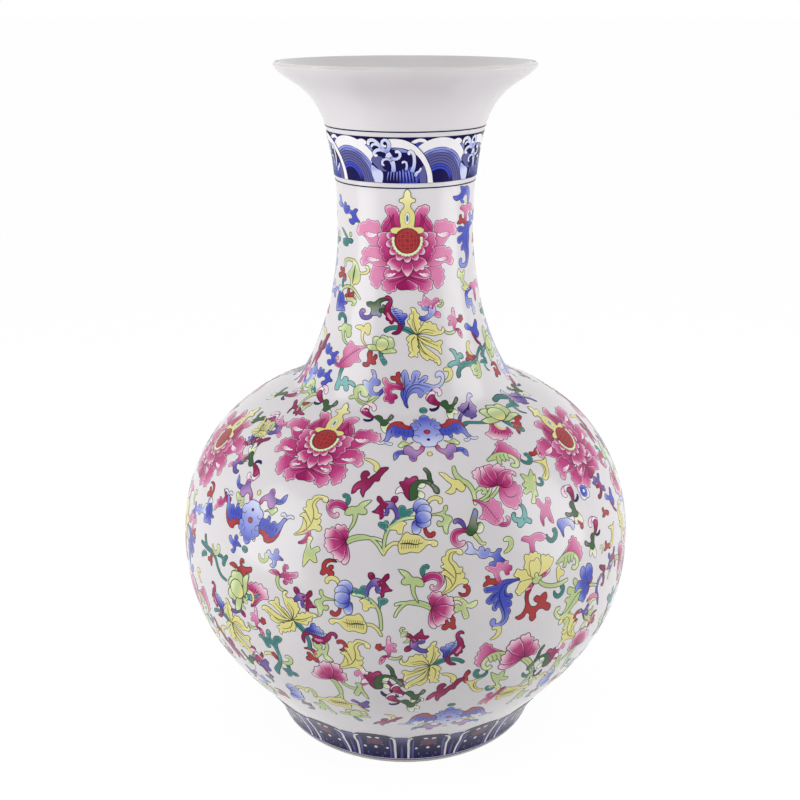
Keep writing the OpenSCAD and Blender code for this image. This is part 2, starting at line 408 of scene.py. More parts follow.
SCROLL_PAINTS = {
    "rose": Paint("deep_rose", "rose", "pink", "pale_pink", 0.35, "rose_ink"),
    "pink": Paint("rose", "pink", "pink", "pale_pink", 0.2, "soft_ink"),
    "blush": Paint("pink", "pale_pink", "white", "white", 0.0, "rose_ink"),
    "petal": Paint("deep_rose", "rose", "pale_pink", "pale_pink", 0.3, "rose_ink"),
    "heart": plain("deep_rose", "rose_ink"),
    "red": Paint("crimson", "red", "red", "red", 0.0, "dark_ink"),
    "medal": Paint("crimson", "crimson", "crimson", "red", 0.0, "dark_ink"),
    "fret": plain("red", "dark_ink"),
    "plum": Paint("plum", "plum", "rose", "plum", 0.0, "dark_ink"),
    "yellow": Paint("yellow", "yellow", "yellow", "pale_yellow", 0.12, "leaf_ink"),
    "crown": Paint("yellow", "yellow", "pale_yellow", "pale_yellow", 0.0, "leaf_ink"),
    "bead": plain("pale_green", "leaf_ink"),
    "green": Paint("green", "green", "pale_green", "green", 0.0, "leaf_ink"),
    "lime": Paint("yellow", "green", "pale_green", "pale_yellow", 0.0, "leaf_ink"),
    "moss": Paint("moss", "moss", "grey", "moss", 0.0, "dark_ink"),
    "pale": Paint("moss", "pale_green", "white", "white", 0.0, "leaf_ink"),
    "teal": Paint("teal", "teal", "teal", "pale_teal", 0.0, "dark_ink"),
    "mint": Paint("teal", "pale_teal", "pale_teal", "pale_teal", 0.0, "dark_ink"),
    "blue": Paint("blue", "blue", "periwinkle", "periwinkle", 0.2, "dark_ink"),
    "sky": Paint("blue", "periwinkle", "pale_blue", "pale_blue", 0.2, "dark_ink"),
    "frost": Paint("periwinkle", "pale_blue", "white", "white", 0.0, "dark_ink"),
    "bat": Paint("pale_blue", "periwinkle", "blue", "periwinkle", 0.0, "dark_ink"),
    "violet": Paint("violet", "violet", "mauve", "violet", 0.2, "dark_ink"),
    "mist": Paint("violet", "mauve", "pale_blue", "pale_blue", 0.2, "dark_ink"),
    "dawn": Paint("rose", "mauve", "violet", "pink", 0.0, "dark_ink"),
    "smoke": Paint("moss", "grey", "periwinkle", "grey", 0.0, "dark_ink"),
    "white": plain("white", "dark_ink"),
    "navy": plain("navy", "dark_ink"),
    "rose_ink": plain("rose_ink", "rose_ink"),
    "soft_ink": plain("soft_ink", "soft_ink"),
    "leaf_ink": plain("leaf_ink", "leaf_ink"),
    "dark_ink": plain("dark_ink", "dark_ink"),
}
BAND_PAINTS = {
    "white": plain("white", "ink"),
    "foam": Paint("periwinkle", "pale_blue", "white", "white", 0.0, "ink"),
    "surge": Paint("navy", "blue", "blue", "blue", 0.0, "ink"),
    "swell": Paint("slate", "periwinkle", "slate", "periwinkle", 0.0, "ink"),
    "pale": Paint("pale_blue", "pale_blue", "periwinkle", "pale_blue", 0.0, "ink"),
    "hill": Paint("slate", "slate", "slate", "slate", 0.0, "ink"),
    "deep": Paint("navy", "navy", "navy", "navy", 0.0, "ink"),
    "line": Paint("slate", "periwinkle", "periwinkle", "periwinkle", 0.0, "ink"),
    "panel": plain("navy", "ink"),
    "shade": Paint("navy", "navy", "slate", "slate", 0.0, "ink"),
    "lilac": Paint("violet", "slate", "slate", "violet", 0.0, "ink"),
    "ember": plain("umber", "ink"),
    "bloom": plain("soft_ink", "ink"),
    "ink": plain("navy", "ink"),
}


# Drawing


def cap(share, reach):
    """Rounds off a width over the last reach of a stroke."""
    over = np.clip((share - (1 - reach)) / reach, 0, 1)
    return np.sqrt(np.clip(1 - over ** 2, 0, 1))


def arc(x, y, reach, rise, start, end, steps=8):
    """Points along an ellipse about x, y, from one angle to another in degrees."""
    turns = np.radians(np.linspace(start, end, steps + 1))
    return [(x + reach * math.cos(turn), y + rise * math.sin(turn)) for turn in turns]


def points_of(outline):
    """The points of an outline. Text has commas between points and blanks between a point's numbers."""
    if not isinstance(outline, str):
        return outline
    return [tuple(float(number) for number in point.split()) for point in outline.split(",")]


def smooth_loop(points):
    """A closed outline smoothly through points, with the inside on its left. A third number at a point makes
    it a corner if it is nought, and otherwise cuts that many round lobes up to the next point."""
    places = np.array([point[:2] for point in points], dtype=float)
    marks = [point[2] if len(point) > 2 else None for point in points]
    closed = np.concatenate([places, places[:1]])
    side = np.sign(np.sum(closed[:-1, 0] * closed[1:, 1] - closed[1:, 0] * closed[:-1, 1]))
    gaps = np.diff(run_along(closed))
    after = np.diff(closed, axis=0) / gaps[:, None]
    weight = (np.roll(gaps, 1) / (gaps + np.roll(gaps, 1)))[:, None]
    slopes = after * weight + np.roll(after, 1, axis=0) * (1 - weight)
    loop = []
    for i, mark in enumerate(marks):
        onward = (i + 1) % len(marks)
        ends = np.array([after[i] if mark == 0 else slopes[i],
                         after[i] if marks[onward] == 0 else slopes[onward]])
        count = max(3, math.ceil(gaps[i] / LOOP_STEP), 6 * int(mark or 0))
        share = np.linspace(0, 1, count + 1)[:-1]
        stretch = curve_through(np.array([0, gaps[i]]), closed[i:i + 2], ends, share * gaps[i])
        if mark:
            out = side * np.array([after[i][1], -after[i][0]])
            rise = LOBE_RISE * gaps[i] / mark * np.abs(np.sin(np.pi * mark * share))
            stretch = stretch + out * rise[:, None]
        loop.append(stretch)
    loop = np.concatenate(loop)
    return loop if side > 0 else np.roll(loop[::-1], 1, axis=0)


class Sketch:
    """A flat drawing in millimetres, x to the right and y up the wall. Its heights are layers of paint."""

    def __init__(self, paints):
        self.paints = paints
        self.strips = {name: index for index, name in enumerate(paints)}
        self.bm = bmesh.new()
        self.map = self.bm.loops.layers.uv.new(PAINT_MAP)
        self.side = 1
        self.middle = (0, 0)
        self.strokes = {}

    def about(self, x, y):
        """Sets the point of the coordinates that follow which is to be the middle of the drawing."""
        self.middle = (x, y)

    def height_of(self, layer):
        """The height of the next stroke in a layer, just over the one before it."""
        self.strokes[layer] = self.strokes.get(layer, -1) + 1
        return layer + STROKE_RISE * min(self.strokes[layer], 10)

    def placed(self, points):
        return (points - self.middle) * (self.side, 1)

    def patch(self, paint, grid, height):
        """Adds a patch of paint. The grid holds its points, along the stroke by across it."""
        grid = self.placed(grid)
        if self.side < 0:
            grid = grid[:, ::-1]
        along, across = grid.shape[:2]
        made = bmesh.ops.create_grid(self.bm, x_segments=along - 1, y_segments=across - 1, size=0.5,
                                     calc_uvs=True)
        for vert, point in zip(made["verts"], grid.transpose(1, 0, 2).reshape(-1, 2)):
            vert.co = (*point, height)
        strip = self.strips[paint]
        for face in {face for vert in made["verts"] for face in vert.link_faces}:
            for loop in face.loops:
                share = STRIP_MARGIN + (1 - 2 * STRIP_MARGIN) * loop[self.map].uv.y
                loop[self.map].uv.y = (strip + share) / len(self.strips)

    def shape(self, paint, outline, layer=1, ink=INK_LINE, rim=RIM_WIDTH):
        """A patch with a smooth outline, as smooth_loop reads its points. The paint runs from the first point
        to the point farthest from it."""
        loop = smooth_loop(points_of(outline))
        if ink:
            self.outline(self.paints[paint].ink, loop, layer, ink)
        axis = max(loop - loop[0], key=lambda reach: reach @ reach)
        height = self.height_of(layer)
        verts = [self.bm.verts.new((*point, height)) for point in self.placed(loop)]
        edges = [self.bm.edges.new(pair) for pair in zip(verts, verts[1:] + verts[:1])]
        filled = bmesh.ops.triangle_fill(self.bm, use_beauty=True, edges=edges, normal=(0, 0, 1))["geom"]
        pieces = [item for item in filled if isinstance(item, bmesh.types.BMFace)]
        low, high = np.min(self.placed(loop), axis=0), np.max(self.placed(loop), axis=0)
        for direction in ((1, 0, 0), (0, 1, 0)):
            start, end = low @ direction[:2], high @ direction[:2]
            for cut in np.arange(start + COLUMN_WIDTH, end, COLUMN_WIDTH):
                nearby = {item for face in pieces for item in (*face.verts, *face.edges, face)}
                split = bmesh.ops.bisect_plane(self.bm, geom=list(nearby), dist=1e-5, plane_no=direction,
                                               plane_co=[cut * share for share in direction])["geom"]
                pieces = [item for item in split if isinstance(item, bmesh.types.BMFace)]
        strip = self.strips[paint]
        for face in pieces:
            if face.normal.z < 0:
                face.normal_flip()
            for corner in face.loops:
                point = np.array(corner.vert.co[:2]) * (self.side, 1) + self.middle
                along = np.clip((point - loop[0]) @ axis / (axis @ axis), 0, 1)
                inside = min(np.min(np.linalg.norm(loop - point, axis=1)) / rim, 1) if rim else 1
                share = STRIP_MARGIN + (1 - 2 * STRIP_MARGIN) * (1 - inside / 2)
                corner[self.map].uv = (along, (strip + share) / len(self.strips))

    def twin(self, paint, outline, layer=1, **more):
        """A shape that is the same on both sides of the y axis, given by its left half from root to tip."""
        half = points_of(outline)
        right = []
        for point, nearer in zip(half[:0:-1], half[-2::-1]):
            lobed = nearer[2:] if any(nearer[2:]) else point[2:]
            right.append((2 * self.middle[0] - point[0], point[1], *lobed))
        self.shape(paint, [*half[:-1], *right], layer, **more)

    def petal(self, paint, x, y, heading, length, width, layer=1, ink=INK_LINE):
        """A round petal that grows from x, y along a heading."""
        ahead = np.array([math.cos(math.radians(heading)), math.sin(math.radians(heading))])
        left = np.array([-ahead[1], ahead[0]])
        outline = ((0, -0.3), (0.6, -0.5), (0.9, -0.3), (1, 0), (0.9, 0.3), (0.6, 0.5), (0, 0.3))
        points = [(x, y) + ahead * length * along + left * width * across for along, across in outline]
        self.shape(paint, points, layer, ink)

    def outline(self, ink, loop, layer, width):
        """Adds a line of ink round a patch, mostly outside it."""
        gaps = np.linalg.norm(loop - np.roll(loop, 1, axis=0), axis=1)
        loop = loop[gaps > 0.03]
        if len(loop) < 3:
            return
        edges = np.roll(loop, -1, axis=0) - loop
        edges /= np.linalg.norm(edges, axis=1)[:, None] + 1e-9
        out = np.stack([edges[:, 1], -edges[:, 0]], axis=1)
        out = out + np.roll(out, 1, axis=0)
        out /= np.maximum(np.linalg.norm(out, axis=1), 0.6)[:, None]
        ribbon = np.stack([loop + out * width * 0.75, loop - out * width * 0.25], axis=1)
        self.patch(ink, np.concatenate([ribbon, ribbon[:1]]), layer - INK_DROP)

    def add(self, paint, grid, layer, ink):
        self.patch(paint, grid, self.height_of(layer))
        if ink:
            loop = np.concatenate([grid[:-1, 0], grid[-1, :-1], grid[:0:-1, -1], grid[0, :0:-1]])
            self.outline(self.paints[paint].ink, loop, layer, ink)

    def path(self, paint, points, width, layer=1, ink=INK_LINE):
        """A smooth stroke through points with round ends, of one width or of several at even stations."""
        points = np.array(points_of(points), dtype=float)
        run = run_along(points)
        length = run[-1]
        steps = int(np.clip(length / LOOP_STEP, 4, 48))
        shares = 0.5 - 0.5 * np.cos(np.pi * np.linspace(0, 1, steps + 1))
        spine = curve_through(run, points, np.gradient(points, run, axis=0), shares * length)
        ahead = np.gradient(spine, shares, axis=0)
        ahead /= np.linalg.norm(ahead, axis=1)[:, None]
        left = np.stack([-ahead[:, 1], ahead[:, 0]], axis=1)
        half = smooth_widths(width if np.ndim(width) else (width, width), shares)
        blunt = np.clip(half / length, 0.01, 0.5)
        half = half * cap(shares, blunt[-1]) * cap(1 - shares, blunt[0])
        columns = 2 * math.ceil(half.max() / COLUMN_WIDTH) + 1 if half.max() > 0.5 else 2
        sides = np.linspace(-1, 1, columns)[None, :, None]
        self.add(paint, spine[:, None] + left[:, None] * sides * half[:, None, None], layer, ink)

    def line(self, paint, points, width, layer=1):
        """A stroke with no ink round it."""
        self.path(paint, points, width, layer, ink=0)

    def dot(self, paint, x, y, width, height=None, layer=1, ink=INK_LINE):
        turns = np.linspace(0, np.pi, 9)[:, None]
        sides = np.linspace(-1, 1, 2 * math.ceil((height or width) / 2 / COLUMN_WIDTH) + 1)
        across = y + np.sin(turns) * sides * (height or width) / 2
        along = x - np.cos(turns) * np.ones_like(sides) * width / 2
        self.add(paint, np.stack([along, across], axis=2), layer, ink)

    def both(self):
        """Draws what follows once on each side of the y axis, the left side first."""
        for self.side in (1, -1):
            yield self
        self.side = 1

    def mesh(self, name):
        bmesh.ops.remove_doubles(self.bm, verts=self.bm.verts, dist=0.004)
        mesh = bpy.data.meshes.new(name)
        self.bm.to_mesh(mesh)
        self.bm.free()
        return mesh


def lay(bm, wall, drawing, angle, height, x=0, y=0, turn=0, size=1, girth=None):
    """Lays a drawing on the wall, x and y millimetres from an angle and a height, turned to the left. A
    negative size mirrors it. With a girth, the radius that its width is meant for, it keeps its angle."""
    mesh = drawing.copy()
    points = np.empty(3 * len(mesh.vertices))
    mesh.vertices.foreach_get("co", points)
    right, up, layer = points.reshape(-1, 3).T
    right, up = right * size, up * abs(size)
    turn = math.radians(turn)
    run = wall.run_at(height * MM) + (y + right * math.sin(turn) + up * math.cos(turn)) * MM
    across = (x + right * math.cos(turn) - up * math.sin(turn)) * MM
    around = math.radians(angle) + across / (girth * MM if girth else wall.radius_at(run))
    lift = sizes().paint_lift + layer * sizes().paint_layer
    mesh.vertices.foreach_set("co", wall.points(around, run, lift).ravel())
    if size < 0:
        mesh.flip_normals()
    bm.from_mesh(mesh)
    bpy.data.meshes.remove(mesh)


# Motifs, drawn about their middle. A few say which point of their coordinates it is


def draw_lotus(s, outer):
    """A lotus with a crown over a lattice medallion, amid rings of lobed petals."""
    for side in s.both():
        side.shape(outer, "-12 -2, -24 -7.5, -30 -4, -38 2.8, -41.5 2, -43.5 5, -41.5 9 1, -38 11 1,"
            "-34.5 12 1, -29 14 1, -26.5 13.5 1, -22.3 12.5, -21.5 6, -16 4", rim=LOTUS_RIM)
        side.shape("blush", "-36 2 0, -36 2.6 5, -24 4 0, -28 1.5", 2, ink=0.35)
        side.shape(outer, "-12 -12, -20 -7, -28.5 -6 1, -32.5 -8.5 1, -36.5 -9.5 1, -37 -14, -40 -18.5,"
            "-38 -21.5, -35.3 -20.5, -32 -18.5, -24 -20.5, -15 -18.5", 2, rim=LOTUS_RIM)
        side.shape("blush", "-34 -17 0, -34 -16.5 5, -22 -16 0, -28 -17.5", 3, ink=0.35)
        side.shape(outer, "-10 -23, -17 -21.5, -24 -21 1, -28 -23.5 1, -29.5 -28 1, -29 -33 1,"
            "-27.5 -36.5, -25 -38.5, -22.7 -36.5, -21.5 -34, -14 -31", rim=LOTUS_RIM)
        side.shape("rose", "0 -27, -10 -29.5, -18.5 -31.5 1, -19.5 -35.5 1, -17 -39 1, -12 -39.5 1,"
            "-9 -36, -4.5 -33, 0 -31", 2, rim=LOTUS_RIM)
        side.shape("rose", "-2 -20, -10 -21.5, -16 -22.5, -18.5 -27 2, -16.5 -30, -8 -29, -2 -27", 3,
            rim=LOTUS_RIM)
        side.shape("blush", "-18 -29 0, -18 -28.5 4, -9 -26 0, -13 -28.5", 4, ink=0.35)
        side.line("rose_ink", "-3 -23, -8 -26.5, -14 -28", 0.5, 4)
        side.line("rose_ink", "-1 -28, -8 -31, -15 -33", 0.5, 3)
        side.shape("rose", "-8 4, -19 5.5, -20.3 10, -18.5 14.5, -15 19.5, -17 23, -17 26, -14 27.5,"
            "-10.5 26.5 6, -5 12, -5 9", 3, rim=LOTUS_RIM)
        side.line("heart", "-8 6, -11 12, -11.5 17, -10.5 21", (5, 4, 3, 1), 4)
        side.line("rose_ink", "-14.8 20, -13 17.5, -14.2 13, -17.5 8", 0.6, 5)
        side.shape("rose", "-6 -6, -14 6, -19.5 6 1, -22 0.5 1, -20.5 -5.5 1, -19.5 -11 1, -14 -15.5", 5,
            rim=LOTUS_RIM)
    s.dot("heart", 0, -3, 31, 29, layer=6, ink=0)
    for side in s.both():
        side.shape("petal", "-4 -13, -10 -13, -14.5 -16 1, -13.5 -20 1, -9.5 -22.5 1, -5 -21.5, -4 -18", 7,
            rim=LOTUS_RIM)
    s.twin("petal", "0 -14, -3.5 -17, -4.6 -20.5, -2.8 -25, 0 -28", 8)
    s.twin("rose", "0 -38, -7 -37.6, -8.3 -36, -4 -32.5, 0 -30.5", 4)
    for step in range(9):
        around = 164 + 26.5 * step
        x, y = 10 * math.cos(math.radians(around)), 10 * math.sin(math.radians(around))
        s.petal("petal", x, y, around, 7, 5.6, layer=9)
    s.twin("crown", "0 3, -9 5.5, -12 6.3, -13 8, -11 10, -8 10.3, -5.2 10.5, -5.5 15, -5.6 20,"
        "-4.3 23.5, -2.3 26, -2.2 28, -3.5 29.8, -5.8 30.3, -5.8 32, -3.5 33, -2.5 34, -2.2 37, 0 39.8",
        10)
    s.dot("white", 0, 17.5, 3.6, 9, layer=11, ink=0.35)
    s.dot("teal", 0, 17.5, 1.9, 5.4, layer=12, ink=0)
    for step in range(16):
        around = math.radians(172 + 13.1 * step)
        s.dot("bead", 10.9 * math.cos(around), 10.9 * math.sin(around), 2.9, layer=10, ink=0.35)
    s.dot("medal", 0, 0, 19.4, layer=12)
    for reach in (7.6, 3.2):
        s.line("fret", arc(0, 0, reach, reach, 0, 360, 24), 0.7, 13)
    for offset in (-5, -1.7, 1.7, 5):
        half = math.sqrt(7.6 ** 2 - offset ** 2)
        s.line("fret", ((-half, offset), (half, offset)), 0.6, 13)
        s.line("fret", ((offset, -half), (offset, half)), 0.6, 13)


def draw_bat(s):
    """A bat of good fortune seen from above, its wings spread, with swirls behind its tail."""
    for side in s.both():
        side.path("frost", "-33 -8, -35 -10.5, -38 -11.5, -40 -10.5", (2, 2, 1.8, 1.6))
        side.path("frost", "-33 -8, -32.3 -11, -30 -12, -28.5 -10.5", (2, 2, 2, 1.8))
        side.shape("blue", "-6 0, -8 7.5, -13 7.3, -16 8.5, -17.8 11.8 0, -21 12.2, -26 10, -29.5 5.5,"
            "-31.2 0, -32.3 -5, -34 -9, -31.3 -8.5, -29.5 -5.5, -26 -3.2, -24.5 -4.6, -22.5 -4,"
            "-21.5 -2.5 0, -19.5 -3, -19 -7, -17.5 -7.6, -16.5 -5, -14 -4, -10 -5", 2)
        side.shape("red", "-10 6.8 0, -13 7.3, -16 8.5, -17.8 11.8 0, -21 12.2, -26 10, -29.5 5.5,"
            "-31.2 0 0, -28.5 4.5, -25 7.6, -22 8.4 0, -20.5 5 0, -18.5 6 0, -16.5 3.4 0, -14.5 4.6 0,"
            "-12.5 3.6 0", 3, ink=0.4)
        for step in range(5):
            side.line("dark_ink", ((-14 - 3.2 * step, 1.5 + 0.4 * step), (-15 - 3.2 * step, -1)), 0.5, 3)
        side.dot("white", -7.3, 13, 2.6, 3.2)
        side.shape("green", "-12 -9.5, -15.5 -10.8, -18 -9.5, -20 -8.7, -21.5 -10.5, -23.8 -13.5,"
            "-22 -15, -19.5 -13.2, -16 -12")
        side.shape("blue", "-17 -19, -20.5 -18, -25 -18.5, -28 -21, -28.7 -27 0, -26 -24.5, -24 -21.5,"
            "-20 -21.2, -17 -21.5")
        side.shape("dawn", "-4.5 -13, -7 -14.5, -8 -17, -11 -18, -13 -16.5, -14 -14.3, -16.5 -13.3,"
            "-19.2 -15, -20.3 -18.5, -19.5 -21, -17 -22, -16.5 -25.5, -14.5 -27.8, -12.2 -26.8,"
            "-11.3 -23.5, -8 -20.8, -5 -17.5", 2)
    s.twin("bat", "0 -14.6, -4.5 -13.8, -6.8 -10.4 0, -10 -9, -11.8 -6, -10.5 -2.5, -9.5 2, -10.5 6 1,"
        "-8 10.5 1, -4.2 13.5, -3.2 16.5, 0 18.8", 4)
    for side in s.both():
        side.line("dark_ink", "-11 -3.4, -8.5 -2.6, -6.5 -3.6, -6.8 -5.2", 0.5, 5)
        side.line("dark_ink", "-11.5 1.5, -8 2.5, -6 5, -7.3 7, -9 5.6", 0.5, 5)
        side.line("dark_ink", "-4.5 6, -3.8 9, -5.5 10", 0.5, 5)
    s.dot("red", 0, 0.5, 4.2, 3.8, layer=5)
    s.dot("navy", 0, -7.6, 2.8, 2.6, layer=5, ink=0)
    s.dot("yellow", -1, -21.5, 3.4)
    s.dot("teal", 0.5, 23.3, 5.8, 4.6)


def draw_lily(s):
    """A yellow lily of frilled petals, and on its stem a leaf folded like a fan, plum and blue."""
    s.about(-23, 3)
    s.path("teal", "-49 5.5, -45 8, -38 9, -31 7.5, -26 4.5, -23 2.5", (2.4, 2.6, 2.6, 3.4, 4, 3))
    s.line("dark_ink", "-35 8.6, -30 6.4, -25 3.5", 0.5, 2)
    petals = (
            "-24 3, -27 3.6, -30.3 2 1, -30 -2.5 1, -30.5 -6.5 1, -30 -10.5, -32.5 -13, -30 -14,"
            "-27.5 -13, -26 -14.5, -25.5 -11 1, -25 -6 1, -24 -1",
            "-23 2, -23 -6, -22.5 -13, -20 -16 1, -16 -15.5 1, -13 -17 1, -10.5 -19.5, -10 -22, -8 -21,"
            "-8 -17, -11.5 -13, -16.5 -8.4, -20 -4.5",
            "-23 2, -18 1.2, -13 -1, -10.5 -3.6, -7.5 -3.4, -5 -2.5, -3.2 -4.4, -5.8 -7, -5.2 -9.7,"
            "-6 -13.3, -8 -10.6, -13 -7, -19 -3.4",
            "-23 3.5, -21 7, -17.5 11 1, -14 12 1, -10 10.5 1, -6.5 7.5, -5 5.5, -2.5 5, -1.5 8, -0.2 5,"
            "-2 3, -6 2.4, -10.5 2, -15 3.4, -20 4",
            "-23 4, -26 7, -28 11.5 1, -27 16 1, -25 20, -25.2 24.8, -23 24, -21.5 20.5 1, -21 16 1,"
            "-20.5 12 1, -21.5 8")
    veins = (
            "-25 2, -28 -1, -28.5 -10",
            "-23.4 1, -20 -10, -11 -18",
            "-23 2, -16 -2.5, -7 -7",
            "-23 3, -17 7, -8 5",
            "-23 4, -24.5 13, -24 22")
    for step, (petal, vein) in enumerate(zip(petals, veins)):
        s.shape("yellow", petal, 2 + step)
        s.line("leaf_ink", vein, (0.8, 0.6, 0.3), 3 + step)
    for vein in (
            "-23 3.4, -16 4.8, -10 3.6",
            "-22.5 1.4, -17 -1, -12 -3",
            "-23.4 -2, -22 -9, -18 -13",
            "-24 6, -26 11.5, -25.5 16"):
        s.line("leaf_ink", vein, 0.4, 7)
    s.about(37, 3)
    s.shape("sky", "21 14, 17.8 22, 18.5 26.5, 21 23.5 1, 24 22.5 1, 27 19.5 1, 30.5 18, 28 15, 27.5 11,"
        "26 9.5, 24 14", 2)
    for step in range(8):
        x, y = 18.6 + 0.95 * step, 23.5 - 1.6 * step
        s.line("navy", ((x, y), (x + 3.6, y - 0.4)), (0.9, 0.4), 3)
    s.shape("plum", "24 12, 25.5 11, 24.5 6.5, 21 3.8, 17 4.2, 19 5.5, 22 7, 23 10, 22 13.5, 19.5 14,"
        "18.5 12.3 1, 16.2 14 1, 14.5 18 1, 13.5 22, 15 26.5, 17.8 30, 16.5 31.6, 14 31.3, 16 33.6,"
        "19 32.5, 20 29.5, 19 26.5, 18 24, 18 21, 20.5 17.5", 4)
    s.line("pink", "15.2 21, 16.5 17, 18.5 14.5", (1.4, 2, 1.2), 5)


def draw_grey_branch(s):
    """A grey branch on a dark stem, with a dark hook and a violet curl."""
    s.path("violet", "-2 -2.5, -3 -5.5, -6.5 -7.2, -10.5 -6.5, -12 -3.5, -10 -1.7, -8.5 -3",
        (1.4, 2.4, 2.8, 3.2, 3.4, 3.2, 2.4))
    s.path("moss", "13 8.8, 8 9, 4 7.3, 1 4", (1.6, 2.2, 3, 4))
    s.shape("smoke", "2 7, -1 5.6, -4 5.8, -7.5 4.5, -6.5 2.5, -3.5 1.5, -2.5 -1, -3 -3, 0 -4.5, 2.5 -4,"
        "5 -5.5, 6 -3.5, 5 -1.5, 7 -0.8, 4.5 1, 4.5 5")
    s.path("moss", "4 0, 7 0, 8.8 2, 7.5 3.3, 6.3 2.2", (2, 3.4, 3.6, 3, 2.4), 2)


def draw_trefoil(s, paint):
    """A bent stem with a horn on one side and two round lobes on the other."""
    s.shape(paint, "5 -9.5, 2 -8, -0.5 -5, -1.5 -1, -2 2.5, -5 3, -8 4, -4.5 6, -1.5 6, 0.5 5, 1 7,"
        "4 8.5, 6 6.5, 6 3, 5.5 0, 4 -0.5, 1.5 2, 0.5 -1, 1 -5, 3.5 -8")


def draw_lotus_bud(s):
    """A half-open green lotus on a teal stem."""
    s.shape("teal", "-2 -4, 0.5 -5, 1.5 -10, 5.5 -15.5, 4.5 -17, 1 -14, -1 -10")
    s.shape("green", "-5 -4, -7.5 -3, -8 0, -8.2 4, -6 5, -3 4, -3 0", 2)
    s.shape("green", "4 -4, 4 1, 4 5, 6.5 5, 8.5 2, 9.5 -1, 7 -4", 2)
    s.shape("green", "-1 0, -2.5 4, -1 6.5, 1 6, 3 5.3, 4 2", 2)
    s.shape("green", "-3 -5.5, -6 -2, -10 -2, -13 -3, -11 -5.5, -7 -6", 3)
    s.shape("green", "-1 -6.5, 4 -5, 8 -3.5, 12 -6.3, 7 -7, 2 -7.7", 3)
    s.shape("lime", "-1 -6, -4 -4.5, -5 -1, -4 2.5, -0.5 4, 3.5 2, 4.5 -1, 2.5 -4.5", 4)


def draw_scroll(s, paint):
    """A short stem that ends in rounded arms, two to the right and one to the left."""
    s.shape(paint, "-1 7.2, 0.5 5, 0.5 2, 2.5 2, 2.8 3.5, 4.5 3.5, 5 1.5, 3.8 -1, 4.7 -3.5, 2.5 -4.2,"
        "0 -3.5, -0.5 -5.5, -3 -6.7, -6 -5.7, -6 -4, -3 -3.5, -2.5 0, -3.5 3, -3 5.5")


def draw_pink_leaf(s, paint):
    """A wavy leaf with fine side veins, its root curled up."""
    s.about(-15, -17)
    s.path("petal", "-20 -25.5, -25 -27, -29 -26, -30 -23, -28 -21.6, -26.5 -23",
        (3, 3, 2.8, 2.6, 2.4, 1.8))
    s.shape(paint, "-24 -26, -22 -28, -17 -27, -12 -25, -10 -22, -3.5 -20, -6 -17.5, -6.5 -14, -4.5 -11,"
        "0.5 -7.5, -6 -8.5, -12 -8.5, -14 -6.5, -16.5 -6, -18 -9, -20.5 -12, -22 -15, -21.5 -20,"
        "-24 -23.5", 2)
    s.line("soft_ink", "-23 -25.5, -15 -17, -7 -11, 0 -7.8", (0.9, 0.8, 0.6, 0.3), 3)
    for step in range(8):
        x, y = -21 + 1.7 * step, -23.2 + 1.7 * step
        s.line("rose", ((x, y), (x - 0.6, y + 5 - 0.35 * step)), 0.45, 3)
        s.line("rose", ((x, y), (x + 5 - 0.3 * step, y - 0.6)), 0.45, 3)


def draw_coral(s, paint):
    """A forked branch of rounded arms on a bent stem."""
    s.shape(paint, "-1 10.5, -3.5 10, -4.5 6, -4.5 0, -5.5 -5, -5 -8.5, -1.5 -8, -0.5 -4, 3 -4, 4.5 -7,"
        "7 -7.5, 8 -5, 6.5 -2.5, 10 -2, 12.5 -3.2, 13.7 -2.5, 12 0, 8 1, 5.5 0, 6 2, 4 3.5, 1.5 3,"
        "0.5 0.5, -1.5 -0.5, -2 5")


def draw_swirl(s, paint, curl):
    """A branch with a horn, round lobes and a curl, under a second curl."""
    s.path(curl, "0.5 5, -0.5 9, -3.5 11, -7 10.5, -8.7 7.7, -7 6.5", (2, 2.6, 2.8, 3.4, 4, 3))
    s.shape(paint, "7 -11, 3 -10.5, 0 -8, -2 -4, -3 -1.5, -6 -2, -8 -1, -6 1, -3.5 1.5, -2 3.5, 1 5, 4 4,"
        "6 4.5, 8 3, 7.5 0.5, 8.5 -2, 7 -5, 4 -5, 3 -2.5, 1 -0.5, 1 -5, 4 -9")


def draw_arc(s):
    """A green arching stem over a leaf of red and green."""
    s.path("green", "-12 -3, -7 1.8, -1 3.6, 5.5 2, 10 -1.5, 13 -4.5", (2, 2.2, 2.2, 2, 1.8, 1))
    s.path("teal", "-9 2, -10 5.5, -8 8.5, -5.8 7.8", (1.6, 2.4, 3.4, 3))
    s.shape("green", "-3 -7, 0 -4.5, 4 -4.5, 7 -5.3, 9 -8, 6 -8.5, 4 -7.5, 0 -8")
    s.shape("red", "-1 -4.5, 2 -1.5, 5.5 0, 6 -2, 3 -4", 2)


def draw_blue_flower(s, paint):
    """A flower seen from the side, of broad ragged lobes."""
    s.shape(paint, "-2 9, 2 6.5, 4 4, 5 1.2, 9 0.6, 7 -1, 3 -2, 6 -4, 6.5 -6.5, 3 -6.8, -2 -8, -6 -8.5,"
        "-7 -3, -6 4")
    s.line("dark_ink", "-2 7, -1 1, -3 -6", 0.6, 2)
    s.line("dark_ink", "0 3, 2 0, 4 -0.5", 0.5, 2)
    s.shape("frost", "-7 10, -2 12, 0 10, -3 8, -7 7")


